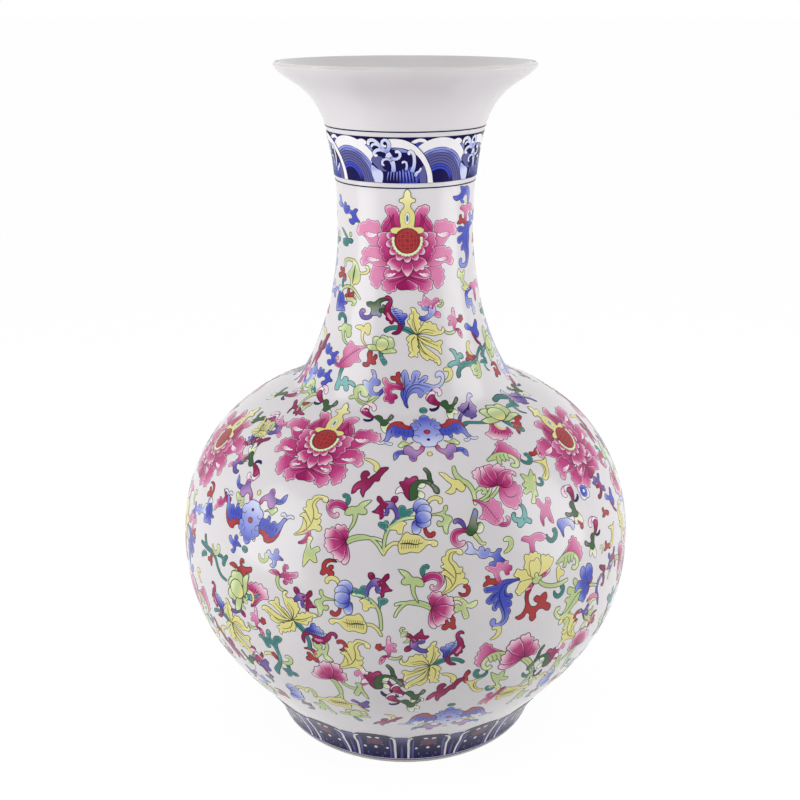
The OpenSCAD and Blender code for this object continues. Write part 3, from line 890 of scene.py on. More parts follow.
def draw_hook_scroll(s, stem, arm):
    """A curved stem with a head of pointed arms and a hook."""
    s.path(stem, "-1 0, -3 -0.6, -5.5 -0.2, -6 1.6, -4.6 2", (2.6, 2.4, 2.4, 2.6, 2))
    s.shape(arm, "3 -4, 6 -3.8, 8 -6, 7.5 -8.2, 5 -8, 3 -6")
    s.shape(stem, "-10 -8.5, -6 -9.8, 0 -7, 3.5 -4.5, 4 -1, 2 3, -1 0, -2 -4.5, -6 -6.7, -9.5 -7")
    s.shape(arm, "2 -1.5, 3.5 2, 7 4.5, 7.7 6, 5 7, 1.5 4.5, -1 6.5, -3.5 8.5, -4.5 10.5, -5.2 7.5, -6 5,"
        "-9.7 4.4, -8 2.5, -5.5 2, -2 2.5, -0.8 0")


def draw_mallow(s):
    """A pink sprig with a red ball and a rose leaf, on a pale stem."""
    s.path("green", "-10 -3.5, -8 -5.4, -4 -6, 0 -5", (1.2, 1.8, 2, 2))
    s.path("green", "-14 17, -11.5 16.4, -9 18, -10 20.6, -12 19.6", (1, 1.4, 1.6, 1.4, 1))
    s.shape("rose", "1 -3.5, 4 -4, 6 -6.5, 6.2 -11.5, 3.5 -9, 2.5 -6")
    s.path("red", "2.5 3.5, 5 3, 7 2.2, 8.3 4, 7 5.7, 5.9 4.5", (1.4, 2, 3, 3.4, 3, 2.4))
    s.shape("pink", "0 -5, 1 0, 2.7 1.5, 1.5 6, 1 12, 0 13.7, -1.2 12, -1.2 8, -5 7, -5.5 5, -2.5 4,"
        "-5.5 2, -5.5 0.3, -2 0.5, -1 -3", 2)


def draw_blue_hook(s, paint):
    """A broad hook with a split end."""
    s.shape(paint, "7.5 8.3, 3 10, -1 9.5, -3.5 7, -4 2, -3.5 -3, -2 -5.5, 0.5 -5.5, 1.5 -3, 4 -5, 5 -10,"
        "6.5 -12.5, 8.5 -11, 7.5 -7, 5.5 -4, 5 0, 1 1, -1 4, 1.5 7")


def draw_bird(s, paint):
    """A spread flower like a bird on a plum stem."""
    s.path("plum", "-2 0, 0 -4, 3 -9, 8 -13", (2.4, 2, 1.8, 1.2))
    s.shape(paint, "-1 -1, -5 2, -9.5 4, -10 6.3, -8 7.5, -4 5, -1 2.8, 3 6, 5 8.2, 7.5 6, 6.3 1, 8 -4,"
        "4 -6.2, 2 -3.5")


def draw_branch(s):
    """A long teal branch with a forked head, a yellow curl, a red leaf and a green curl."""
    s.path("yellow", "11 2, 7.5 6, 5.7 11, 6.5 15, 9 15.4", (1.6, 2.4, 2.6, 2.6, 2))
    s.shape("red", "11 1.5, 9 3.5, 6 5.5, 3 4.5, 5 2.4, 8.5 1", 2)
    s.path("green", "13 -1, 14.5 -5, 13.5 -9, 10 -10.8, 7.3 -9, 8 -7", (2, 3, 3, 3, 2.8, 2.4))
    s.shape("teal", "25 8.5, 20 9, 16 5.5, 13 1.5, 7 0, -3 1, -5 -1.5, 1 -2.7, 9 -2.7, 14 -0.8, 17 3.7,"
        "21 6.5, 25 7")
    s.shape("mint", "-1 0, -5 1, -5.5 3.5, -5 5.5, -3 4.2, -1 5, -2.5 8.5, -5 9, -6.5 7.5, -7.5 11,"
        "-10 13, -13 13.5, -11 11, -9 7, -8.5 4, -13 3.5, -16.7 1, -15.5 -0.6, -10 0.5, -7 -1, -9 -4,"
        "-10.5 -7, -9.5 -10.2, -7.5 -9.5, -6.5 -6, -4 -3.7, -1 -2.5")


def draw_curl(s, paint):
    """A broad curl with a split root."""
    s.path(paint, "-3.5 -5.5, 0.5 -3.8, 3.2 -0.5, 3.2 3, 0 4.2, -2.3 3.2", (0.8, 2.4, 3.4, 3.4, 3, 2))


def draw_comma(s, paint):
    """A stroke that thickens into a ball."""
    s.path(paint, "-5 1.5, -3.7 -2.4, 0 -4.3, 3.4 -2.6, 4.5 1, 3.3 3, 2.2 1.6",
        (0.8, 2.4, 3, 3.2, 3.6, 3.6, 2.6))


def draw_thorn(s, paint):
    """A long leaf with short thorns on its back and a forked head."""
    s.shape(paint, "12.5 -7.7, 9 -3.5, 8.5 -1.5, 10.7 1.7, 8 2, 5 0, 1 1, 1 3, -1 3.6, -3 1.5, -3.5 5,"
        "-6 5.6, -7.5 3, -11 5.5, -12.5 9.5, -15 10.5, -15 6, -18 3, -14 1.5, -9 1, -7 -2, -4 -3, 0 -2,"
        "4 -4, 4 -6.3, 1.5 -6.7, -0.5 -7.7, 1 -9.5, 5 -10.5, 8 -8")


def draw_yellow_leaf(s, paint):
    """A hanging leaf with a dark rib and a curled stem."""
    s.path(paint, "0 8.5, -5 9, -10 8.4, -13.5 6.5, -13.3 3.5, -11.6 4", (2, 2, 2, 2, 2.4, 1.8))
    s.shape(paint, "-1 -12, -3.5 -9, -4 -6.5, -7.5 -3, -4 1.5, -2 4.5, -2 9, 1 8.2, 4 5, 6 0, 6.6 -6,"
        "4 -9, 1 -9.5")
    s.line("leaf_ink", "-1 -10, -0.4 -2, 0.6 6", (0.6, 1.8, 0.6), 2)
    s.path("crown", "6 0, 11 0.4, 14 2.5, 13.2 5.4, 11 5.4", (1.2, 1.6, 1.8, 2, 2))


def draw_long_leaf(s, paint):
    """A long drooping leaf with round side lobes and a hooked end."""
    s.shape(paint, "15 14.5, 8 17, 2 17, -3 14, -8 15.5, -11 14.5, -10 12, -6 11, -3 10.5, -7 8, -11 6.5,"
        "-10.5 3, -8 2, -5 3.5, -4 1.5, -6.5 -1, -6 -4, -3 -3.5, -1.5 -5, 0 -10, -0.5 -13.5, -4 -15,"
        "-7 -14, -6 -11.5, -8 -10, -10 -12.5, -9 -16.5, -5 -18, 1 -17, 4 -13, 6 -8, 6 -1, 7.5 4, 7 9,"
        "9 13")
    s.line("dark_ink", "8 15, 3 9, 2 0, 2 -9, -1 -15.5", 0.6, 2)


def draw_ladle(s, paint):
    """A stem that spreads into a broad bowl with a pointed end."""
    s.shape(paint, "-2 -11, -3 -5, -3 -1, -6 1, -9.5 3, -7 4.7, -2 3.7, 3 4.7, 9 4, 13.5 0, 8 -1.7, 3 0,"
        "1 -3, 1 -7")


def draw_chip(s, paint):
    """A short stub with two round arms."""
    s.shape(paint, "7 -1.5, 4 1, -0.5 2.5, -2 5.7, -4 5, -4 2, -6.7 -0.5, -3 -1.5, 1 -1, 4 -3.2")


def draw_twist(s, paint):
    """A twisted stem with a tufted head."""
    s.shape(paint, "9 -9, 0 -8.3, -1 -6, 2 -5, -1 -1, -2 1.5, -5 2.5, -5 5.5, -2.5 9, -1 6, 1 5, 4 7,"
        "3 2.5, 2 -1, 5 -4.5")


def draw_green_swirl(s, paint):
    """A spiral leaf with a split tail."""
    s.shape(paint, "1 -10.5, 3 -6, 6 1, 13 2, 10 -1, 6 -5, 3 -8")
    s.shape(paint, "-13 -3, -11.5 -0.5, -8.5 0.5, -9 4, -6 8, -1.5 9.5, 2 8, 4 4, 3.5 1, 0 0.5, -2.5 2,"
        "-2 4.5, -5 2.5, -4.5 -1, 0 -3.5, 4 -3.5, 3 -6, -1 -6, -5 -4.5, -8 -2, -11 -3")
    s.line("leaf_ink", "-6 -1, -4 -3.5, 1 -5, 6 -2, 11 1", 0.5, 2)


def draw_crescent(s, paint):
    """A crescent with a lobe inside it and two pale tips."""
    s.shape(paint, "9 0, 7 -5, 4 -7, 0 -7.5, -3.5 -6, -5 -2.5, -8 0.5, -8.5 3.5, -6 4.5, -3.5 3, -2 5.5,"
        "0 7.5, -0.5 10.5, -1.5 13.3, 1 13, 2.5 9.5, 3 6.5, 5.5 5.5, 5.5 2.5, 3.5 1.5, 1.5 2, -0.5 0,"
        "-0.5 -2.5, 1 -4.5, 4 -4.5, 6.5 -2")


def draw_clover(s, paint, arm):
    """A rose flower of round lobes round an eye, with a forked arm."""
    s.shape(arm, "7 0, 2.5 4, 1.5 7, -2 8, -2.5 10, 0 10.5, 1.5 10.5, 2 13, 4 14, 5 12, 4.5 8.5, 6 5,"
        "8 3")
    s.shape(paint, "7.5 0, 3 0.5, 0 0.5, -2.5 -1.5, -1.5 -3.5, 1.5 -4, 2.5 -6.5, 0 -8, -0.5 -10.5,"
        "-3 -11, -5 -9.5, -7.5 -9.5, -8 -7, -6.5 -4.5, -8 -2, -9 0.5, -6.5 2, -8.5 5, -9 8, -6.5 8.8,"
        "-4 5.5, 1 4.3, 5 3.5", 2)


def draw_blue_acanthus(s, paint):
    """A broad leaf of finger lobes that rises, bends over to the right and ends in a curl."""
    s.shape(paint, "-8.2 -14.7, -10 -13, -11.5 -9, -13.5 -4, -13 0, -11.5 4, -12.5 9, -12.5 13.5,"
        "-10.5 15.6, -8.5 13, -7.5 8.5, -6.8 5.8 0, -5.5 7, -5 10.5, -3.5 14, -1 14.7, 1.5 13, 0.5 10,"
        "-1 7.5 0, 2 8.5, 5 10.6, 7.5 10, 7 7.5, 3.5 5 0, 8 4, 12 2.5, 16 3, 18.5 5, 19 8.5, 17 9.7,"
        "15 8.5, 14 10.5, 15.5 13, 18.5 13, 21 10.5, 21.6 6.5, 19.5 2, 16 0, 10 -0.5, 7.5 -4, 5.5 -2.5 0,"
        "3.5 -5, 2 -6.5, 0.5 -5.5, 0 -3, -3 -2.2, -5.5 -3, -8 -6, -9 -10")
    for vein in (
            "-9.4 -11, -9.6 -4, -7 1.5, -2 4, 4 3, 10 1",
            "-8 -3, -4 1, 1 1, 5 -2.5",
            "-10 -2, -10.8 4, -10.6 11",
            "-5 4, -3 7, -2 11.5",
            "0 5, 3 7, 5.5 8.5",
            "-11.6 -5, -11 1, -7.4 5"):
        s.line("dark_ink", vein, (0.4, 0.7, 0.3), 2)


def draw_plum_bud(s):
    """A plum bud with a pink curl and a dark comma, on a moss calyx with pale leaves."""
    s.shape("pale", "5.5 -4, 5 -10, 7 -15, 9 -16.2, 10.2 -12, 9.5 -5")
    s.shape("pale", "9.5 -4, 11.5 -6, 14.2 -8.5, 14 -10.7, 11.5 -10, 9 -7")
    s.line("navy", "-1.5 -0.5, -3 -3, -6 -4.2, -8.7 -3.6, -8.5 -2.4", (1.6, 2.4, 2.8, 3, 2))
    s.path("blush", "-8.5 9.5, -5.5 11.5, -2 11.3, -0.7 9, -2 7", (2, 2.4, 3, 3.2, 2.4), 1)
    s.shape("blush", "-7.5 4, -11 3.5, -12.3 6, -11 8, -8.5 10.7, -5.5 10.5, -5.5 7", 2)
    s.shape("plum", "0.3 0, -3.5 -0.6, -7.5 0.8, -10.5 3, -10.5 5.5, -9 7.5, -6.5 8, -5 5.5, -3 2.5", 3)
    s.shape("moss", "-0.5 0, 1 2, 3.5 2.5, 5.5 1, 6.2 -1.5, 9.5 -1.5, 11.5 1.5, 13 4, 14.5 2.5,"
        "13.5 -0.5, 10.5 -3.5, 10 -6, 8 -8.5, 5.3 -8, 4.5 -5.5, 2 -2.5", 3)


def draw_fan_bud(s):
    """A violet flower with a dark throat on a bent stem."""
    s.about(50, -14)
    s.path("violet", "44 -28, 43.6 -23, 45 -18.5, 48 -15", (2, 2.6, 2.6, 3))
    s.shape("mist", "47 -16, 44 -12.5, 43 -10, 45.5 -9.5 1, 49 -8, 52 -5.5, 52 -2.5, 53.5 0, 56 -1,"
        "57.2 -3.2, 55 -3.3, 54.5 -5.5, 56 -8, 58.3 -11 1, 59 -15 1, 58.5 -19 1, 56.5 -23, 54.5 -24,"
        "53 -21.5, 50.5 -20.5, 48 -18", 2)
    s.shape("navy", "46.5 -16.5, 49 -13, 51.5 -11, 54 -7, 53.5 -11, 53.5 -14, 50 -16.5", 3, ink=0)
    for x, y in ((56.5, -11), (57, -15), (55.5, -19.5), (52, -18.5)):
        s.line("violet", ((50, -15.5), ((50 + x) / 2, (y - 14.5) / 2), (x, y)), (1.6, 1, 0.4), 3)


def draw_wavy_stem(s, paint):
    """A long wavy stem."""
    s.path(paint, "-14.5 0, -9 2.3, -2 0.5, 6 -1.2, 14 1.5", 2.8)


def draw_flame(s, paint):
    """A flame-like leaf of pointed arms and a curl, on a yellow horn."""
    s.path("yellow", "-3 20, 2.5 18.5, 6.5 14.5, 6 9.5", (1.4, 2.6, 3.6, 4))
    s.shape(paint, "15 13.5, 11 8, 9 5, 8 2, 5 1.5, 3 -1, 1 -4, -2 -7, -3.7 -12 0, -5.6 -7.5, -5 -5,"
        "-8 -6, -10 -8.5, -12.6 -10 0, -11.5 -5, -8 -0.5, -5 1.5, -5.6 4.5, -4 8.5, -1 9.6, 1 7.5, 0 5.5,"
        "-1.5 4.5, 0 3, 3 5.5, 6 8, 10 13", 2)


def draw_moss_bud(s):
    """A plum bud cupped by a moss leaf with a long stem and pale petals."""
    s.path("moss", "14 3.5, 12 8, 11.5 12, 8 17", (2, 2.6, 2.6, 2))
    s.shape("pale", "2 5, 5.5 4.5, 8.7 4, 8 1.3, 4 1")
    s.shape("pale", "2 -2, 5 -2, 8.2 -6, 7 -7.7, 3.5 -6")
    s.shape("blush", "-5 -5, -9 -2.5, -13 -3.8, -12 0, -9 2, -6 2", 2)
    s.shape("plum", "-2 -9, -6 -5.5, -7.5 -1, -9 2, -10.2 5.5, -7 6, -5.5 9.2, -3 8, -1 9.5, 2 10.2,"
        "3.3 7, 1 4, -1 -1, 0 -7", 3)
    s.shape("moss", "-2 -8.7, -3 -4, -2 2, 1 5.7, 6 7, 11 6, 15 3, 19.2 -2, 18.7 -4.5, 16.5 -4, 14 0.5,"
        "10 4, 5 4.5, 2.5 1, 3 -4, 2 -7.7", 4)


def draw_comma_flower(s):
    """A pink flower like a comma on a green sprig, with a teal curl."""
    s.path("teal", "0.5 3.5, 2 7, 1.8 10.3, -0.5 11, -1.7 9.6", (1, 2.6, 3.4, 3.2, 2.6))
    s.path("petal", "1.5 0, -2 3.2, -7 4, -11.5 1.5, -12.5 -2.5, -9.5 -5.4, -6.2 -4.4, -6.3 -2.6",
        (2.4, 5, 5, 4.4, 3.8, 3, 2.8, 2), 2)
    s.shape("blush", "-8 4, -10.5 6.3, -14 3.5, -15 -0.5, -12.5 -4.5, -12 0", 1)
    s.shape("green", "0 -3, 1 0.5, 4.5 3, 9 3.5, 12 6.5, 16 8.5, 20 9.2 0, 16.5 5.5, 14 3, 16 1.5, 16 -1,"
        "13 -2, 10 -1.5, 8.8 -5, 7 -10, 4 -14, 2.5 -15.7, 4 -12, 6 -7, 5.5 -2.5, 3 -3.5", 3)


def draw_peony(s):
    """A peony seen from the side, opening to the left, with two long stems to the right."""
    s.path("green", "1 0, 7 3.5, 14 5, 20 4, 26 -1, 29.5 -7", (1.6, 2, 2, 2, 2, 1.4))
    s.path("green", "1 -2, 8 1.7, 16 3.6, 24 4, 29 2.5", 1.7, 1)
    petals = (
            "1.5 0.5, 3.2 6 1, 2 9.5 1, -2 10.7 1, -6 9, -5 6, -2 3",
            "1 0.5, -2.5 5.5, -6.5 8 1, -10.5 7 1, -14 4 1, -12.5 0.5, -5 0",
            "1 1, 2.5 -2, 4 -7, 4.2 -12, 2.5 -15.5 1, -1.5 -14, -0.5 -6",
            "1 0, 1.2 -8, -1 -13.5 1, -4.5 -13.5 1, -7.5 -10.5 1, -8.5 -7, -4 -3.5",
            "1 0, -5 1.3, -11.5 0.5 1, -13.8 -3 1, -13 -6.6 1, -8.5 -7.6, -3.5 -4.6")
    for step, petal in enumerate(petals):
        s.shape("petal", petal, 2 + step, rim=2.4)


def draw_teal_trio(s, paint):
    """Three round lobes that spread from a pointed root."""
    s.shape(paint, "-8 -8, -5 -3.5, -2 0, -2 4.5, -1 6.5, 2 6.5, 4 3.5, 5.5 4, 8 4.6, 8.5 2.5, 6 0, 3 -2,"
        "-1 -2.5, -5 -6")


def draw_round_bud(s):
    """A blue bud of folded lobes with a yellow curl and a red comma."""
    s.path("yellow", "4 8, 6.5 12.3, 11 13.3, 14 11.3, 13.5 8.6", (1.2, 2.4, 2.8, 3, 2.6))
    s.path("red", "2.3 -7, 3 -12, 5.5 -14.6, 8.4 -13.8, 8.6 -12", (1, 1.8, 2.6, 3.2, 2.6))
    s.shape("sky", "-2 2, -6 5, -5 10, -1 12.6, 3 11.6, 5.2 8.5, 1 5", 2)
    s.shape("sky", "-6 -4, -7 -8.5, -6 -12.5, -3 -13.1, -1 -10.5, -1.3 -7, -3 -3", 3)
    s.shape("sky", "-4 1, -2.5 6, 1 8.4, 5 7.6, 7.1 4.5, 5 1, 0 0", 3)
    s.shape("sky", "-4 -6, -2 -3, 2.5 -2, 6 -3, 6.2 -6, 3.5 -8.2, -1 -8.3", 4)
    s.shape("sky", "-3 -4.4, -4.5 0, -2 2.8, 2 3.3, 6 2, 6.9 -1.5, 3 -4.6", 5)


def draw_green_sprig(s, paint):
    """A forked sprig with a curled arm."""
    s.shape(paint, "-10 3.6, -4 3, -1 2, 0.5 -0.5, -1.5 -2.5, -3.5 -1.3, -4.7 -3.3, -3 -5.4, -0.5 -5,"
        "0 -7, 1.5 -10.5, 3 -11.2, 3.2 -8, 4.5 -4, 6.7 -0.5, 4.5 2, 1.5 3, 1 4.5, 3 7, 2.5 9.9, 1 9.5,"
        "0 6, -3 4.8")


def draw_heart(s, paint):
    """A heart-shaped leaf on a short stem."""
    s.shape(paint, "1.5 -5.3, 1 -2.5, -2.5 -0.5, -4 1.5, -2.5 3, 0 2.8, 1.5 4.2, 3.2 3.5, 2.5 0.5,"
        "2.5 -3")


def draw_lobed(s, paint):
    """A leaf of two round lobes."""
    s.shape(paint, "-6 -2, -1 2.5, 3 4, 5.6 2.5, 3.5 0.5, 3 -1.5, 2.5 -4.6, -0.5 -4.7, -1.5 -2.5")


def draw_veined_leaf(s):
    """A wavy yellow leaf with a dark rib and side veins, on a bent stem, its tip curled."""
    s.about(6, -20)
    s.path("yellow", "-16.5 -29, -13 -23, -8.5 -20, -3 -20.4", (1.4, 2, 2, 2))
    s.shape("yellow", "-5 -20.5, -3 -17, -1.5 -14, 1 -12, 4 -13.6, 8 -14, 11 -15, 14 -17.5, 18 -18.5,"
        "21.5 -18.4, 23.6 -20.5, 22.5 -22.4, 20 -22.4, 18.5 -20.8, 15.5 -21.5, 13 -24, 9 -26.6, 4 -26,"
        "0 -27.1, -4 -27.1, -5 -24", 2)
    s.line("leaf_ink", "-4 -20.4, 2 -20, 8 -20.8, 13 -19.6", (0.6, 1.4, 1, 0.4), 3)
    for step in range(8):
        x = -2.5 + 1.7 * step
        s.line("leaf_ink", ((x, -20.2), (x + 0.9, -17.2 + 0.05 * step)), 0.4, 3)
        s.line("leaf_ink", ((x, -20.4), (x - 0.5, -24.6 + 0.15 * step)), 0.4, 3)


def draw_fork(s, paint, stem):
    """A forked leaf of horns and a round lobe at the end of a long split stem."""
    s.path(stem, "0.5 15, 2 8, 6 3, 11 -0.5, 14.5 -5.5, 16.5 -12, 17 -18", (2, 3.2, 3.4, 3.2, 3, 2.6, 2))
    s.path(stem, "17 -8.5, 20.5 -5.7, 24 -6.7, 24.5 -9.5, 22.5 -10", (1.6, 2, 2.4, 2.4, 2))
    s.shape(paint, "7 0, 9.3 -4, 7 -6.6, 3.5 -4.5, 2 -3, 1.5 -6, -1.5 -7.5, -6 -6 0, -2.5 -3.5, -1 -1,"
        "-4.5 3, -8 7, -10.5 10.2, -6 9, -2.5 5.5, 1 3.5, 4 3", 2)


def draw_smoke_bud(s):
    """A grey bud with pale petals and a green tail, beside a plum flower like a comma on a violet stem."""
    s.path("violet", "0.5 1, -1.7 5.7, -4.5 7.7, -7.2 7.4, -7 5.8", (1.2, 2.2, 3, 3.2, 2.4))
    s.path("petal", "2 0, -2.5 0, -7.3 -1.5, -8.3 -5.5, -6 -9, -2 -9.5, -0.2 -7.5",
        (2.4, 3, 4.6, 4.6, 4, 3.6, 3), 2)
    s.shape("pale", "9 3, 12 4.5, 15 1, 13 -3, 9 -2")
    s.path("lime", "7 -3, 10.5 -7.5, 13.5 -11, 16.5 -11.5", (3, 2.4, 2, 1.4))
    s.shape("smoke", "1 0, 3.5 3.5, 5 8, 6.5 12, 8 15.2, 10.2 13, 10 9, 9.2 5, 10.2 1.5, 8 -2.7, 5 -4.2,"
        "2.3 -2.7", 2)


def draw_pink_fan(s):
    """A fan-shaped flower with dark pleats and a yellow lining, on its stem end."""
    s.about(-23, 15)
    s.shape("petal", "-18 27.5, -22 25.5, -27 20, -31 17, -35.7 15.5, -34.5 11.5 1, -30.5 8.5 1,"
        "-25.5 7.2 1, -21 8.2 1, -16.5 9.2 1, -12.8 11.5, -12.5 16.3 0, -16.5 14.8, -20 16.5, -20.7 21",
        rim=2.6)
    s.path("crown", "-19 25, -20.7 20.5, -19.5 16.4, -15 14.9", (0.6, 1.6, 2, 0.8), 2, ink=0.4)
    for x, y in ((-29, 13.5), (-26.5, 11.5), (-23.5, 10.5), (-20, 10.8), (-17, 11.6)):
        s.line("plum", (((x - 21) / 2, (y + 17.6) / 2), (x, y)), (1.4, 0.4), 2)


def draw_wisp(s, paint):
    """A long ragged leaf with a hooked root."""
    s.shape(paint, "-3.5 9.7, 0 8.8, 3 6.3, 6 6.2, 9.5 6.7, 10.7 5, 7 2.5, 4 2, 3 -1, 0.5 -3.5, -3 -5,"
        "-5 -7, -8 -9.7, -7.5 -6, -6 -3, -7.7 -1, -5 0, -5 2.7, -3 2.6, -1 1.5, 0.5 3, 1 5.5, -1 7.5")


def draw_folded_leaf(s):
    """A leaf folded along its rib, rose above and pleated green below, ending in curls."""
    s.about(-38, -6)
    s.shape("rose", "-54 -9.5, -46 -4.5, -40 -1, -37 1 1, -34 4 1, -29.5 4 1, -28.5 0 1, -26 -4 1,"
        "-25.3 -8.5 1, -25.5 -12.5, -28 -15.5, -31 -13, -33 -8, -38 -5, -45 -6")
    s.shape("green", "-54 -9.5, -45 -4.6, -38 -4.4, -32.5 -7.5, -29.3 -13, -30.5 -18, -35.5 -20.3,"
        "-38.6 -18, -36.5 -15.6, -34.5 -17, -33 -15.5, -33 -12, -35 -10 0, -37.5 -13, -38.5 -10 0,"
        "-40.8 -13, -41.5 -10 0, -44 -12.5, -45 -14.5, -48 -14, -46.5 -11.5, -47 -9.5, -50 -9.5", 2)
    for x, y in ((-35.5, -9), (-39, -8.5), (-42.5, -8.5), (-46, -8.5)):
        s.line("leaf_ink", ((x + 2.4, y + 2.4), (x + 0.6, y), (x + 0.4, y - 2)), 0.5, 3)


def draw_horn(s, paint):
    """A curved horn with a broad ragged mouth."""
    s.shape(paint, "-6 7.3, -1 6.5, 4 5.5, 8.3 6.7 0, 5 2, 2 -4, -2 -8.6, -6 -9.7, -7.6 -7.5, -3 -4.5,"
        "-0.5 0, -1.5 4.5")
    s.line("leaf_ink", "0 4.5, 1 0.5, -1 -4, -5 -7.5", (0.4, 0.8, 0.6, 0.3), 2)


def draw_spray(s, paint):
    """A sprig of a long horn, a round leaf and a curl on a bent stem."""
    s.shape(paint, "7.7 8.3 0, 4 5.5, 1 3.5, -1.5 6, -4 6.7, -4 3, -4 0, -8 -1.5, -7 -4.2, -4 -4,"
        "-1.5 -3, -0.5 -7, -3.3 -12, -1 -13.2, 2 -6, 4.5 -2, 6.5 3")


def draw_acanthus(s, paint):
    """A tall lobed leaf that rises from its root and curls over at its tip."""
    s.shape(paint, "-9.5 -16, -6 -13, -4.5 -9, -4.5 -5, -5.5 -2, -8.5 -1.7, -6.5 1 0, -4 1.5, -7.5 4.5,"
        "-4.5 5.8, -6 8 0, -5.5 11, -3 11.7, -1.5 15, 1.5 16.2, 6 16.3, 9.5 15.2, 10 12.4, 7.5 12, 5 14,"
        "2 12, 1.5 8.5, 4 6, 6 2.5, 8.5 2.5, 7.5 -0.5 0, 9.5 -2.5, 8.5 -5.3, 6.5 -6 0, 10.5 -6.4,"
        "11.7 -8.6, 10 -10, 6 -9.3, 3 -10.5, -1.5 -14")
    for vein in (
            "-8 -15.6, -2 -12, 2 -7, 3 -1.5, 1.5 4, -1 8.5, 1 13.5, 6 14.7",
            "-0.5 -10, -1.5 -6, -5.5 -2",
            "2 -5, -1.5 -1, -6 3.5",
            "2.6 -1, 6 -2, 7.5 -0.5"):
        s.line("leaf_ink", vein, (0.4, 0.7, 0.4), 2)


def draw_tall_acanthus(s, paint):
    """A tall lobed leaf that hangs from a long stem and curls up at its tip."""
    s.shape(paint, "16.5 12.2, 10 13.3, 4 14.1, 0 13.5, -3 11.5, -8 11, -14.5 9.8, -13.5 7.5, -9 7,"
        "-5 7 0, -10 4, -13.3 0, -11 -2.2, -7 -1, -4.6 1 0, -7.5 -3, -8.3 -7, -6 -8.3, -4 -5.5, -2 -7 0,"
        "-0.5 -12, -0.3 -16, -3 -19, -6 -19.3, -6 -16, -8 -14.5, -10.3 -17, -9 -20.5, -4 -21.7, 2 -20,"
        "4.5 -16, 4.5 -14 0, 6.3 -12, 5.5 -9, 3.8 -8.5 0, 7.3 -6, 6.8 -3, 4 -2.5 0, 8.3 0, 7.5 2.5, 4 3,"
        "3 6, 4.5 9.5, 9 11.2")
    for vein in (
            "8 12.4, 1 10, -2.5 4, -1.5 -3, 1 -10, 1.5 -16, -2 -20.2",
            "-3 6, -7 3.5, -10 0",
            "-2 0, -5 -3, -6.5 -6.5",
            "2 7, 2.4 2, 6 0.5"):
        s.line("navy", vein, (0.4, 0.9, 0.4), 2)


def draw_goblet(s, paint, arm):
    """A flower of three lobes over a hollow, with a forked arm at its root."""
    s.shape(arm, "3 -9, -2 -9, -6 -7.8, -11.8 -8.6, -11 -6.5, -9 -5, -9.3 -1.7, -7 -1.7, -6 -3.8,"
        "-3 -4.5, 1 -6")
    s.shape(paint, "3 -8.5, 0 -7, -2 -3, -3 0.5, -6 2, -8.8 5, -5 5.5, -0.5 4.5, 1 7.6, 4 6.5, 5 4.5,"
        "7 7, 10 6.6, 9 4, 12.3 2.5, 11.5 -0.4, 10 -0.5, 9.5 -3, 7 -2.8, 6 0.5, 3 1.5, 1 -0.5, 1.7 -4.5",
        2)


def draw_red_branch(s, paint):
    """A stout branch with a tall stem, a long root and round arms."""
    s.shape(paint, "-1 17.5, -4.5 14, -5.7 9, -5.2 3, -6.5 -1, -10 -4.5, -14.2 -5.5, -11 -8, -7 -7,"
        "-4 -4, -1.5 -6, -1.5 -10, 1 -12.4, 4 -10.5, 4 -6.5, 7 -4, 11 -4.5, 14 -7, 17 -7.5, 18.3 -4,"
        "16 -1.5, 13.5 0, 14.8 4, 13.5 8, 10.5 7.5, 8 6, 5 7.5, 2.3 5.5, 4 3, 6.3 1.5, 4 -0.8, 0 0,"
        "-2.5 4, -2.5 10, 0 14.5")


def draw_yellow_lotus(s):
    """A yellow lotus seen from the side on a long green stem, with two pink sepals."""
    s.path("green", "1 -5, 6 -11, 13 -14.8, 23 -16.5, 33 -15.5", (2, 2.6, 2.8, 3, 2))
    s.shape("petal", "5 -6, 9 -2.5, 13.5 -0.3, 14.7 -2.5, 11 -5.5")
    s.shape("petal", "-1 -8.5, -6 -9.5, -9.3 -12.8, -6 -12.7, -2 -10.5")
    petals = (
            "1 -5, 5 -1, 5.5 6, 7 9 1, 11.5 8.5 1, 15.5 7 1, 17.3 2, 14 -1, 8 -3",
            "-2 -4, -7.5 1, -9 6, -7.5 8.5, -8 12.6 1, -4 13 1, 0 13.5 1, 4 12.5 1, 6 9, 5.5 1, 2 -4",
            "-2 -5, -4 1, -4 6 1, 0 7.5 1, 5 7, 5.5 1, 2 -4",
            "-2 -5, -6.5 -1, -8 3, -12 3.3 1, -16.7 2.6 1, -17.2 0, -14 -1.5, -13 -5",
            "-1 -6, -9 -5, -13.5 -5.5, -16 -9.5 1, -16.5 -13 1, -12.5 -13.5, -9.5 -12, -5 -8.5")
    for step, petal in enumerate(petals):
        s.shape("yellow", petal, 2 + step, rim=2.2)
    s.shape("green", "2 -9.5, -2 -8.3, -2.7 -6, 0 -4.8, 0 -2, 2.3 -1.6, 3 -4.5, 6 -5, 6 -7, 4 -7.5", 7)


def draw_hook(s, paint):
    """A fishhook with two short barbs."""
    s.shape(paint, "-6.7 4.5, -2 6, 1.5 5.2, 4 2, 4 -2.5, 4.7 -6, 2.5 -6.5, 0 -4.5, -3 -6.5, -5.5 -5.5,"
        "-5 -3, -2 -2, -4.5 -0.5, -4 1.4, -1.5 1, -0.5 -1, 1.3 -0.5, 1 2, -1.5 4")


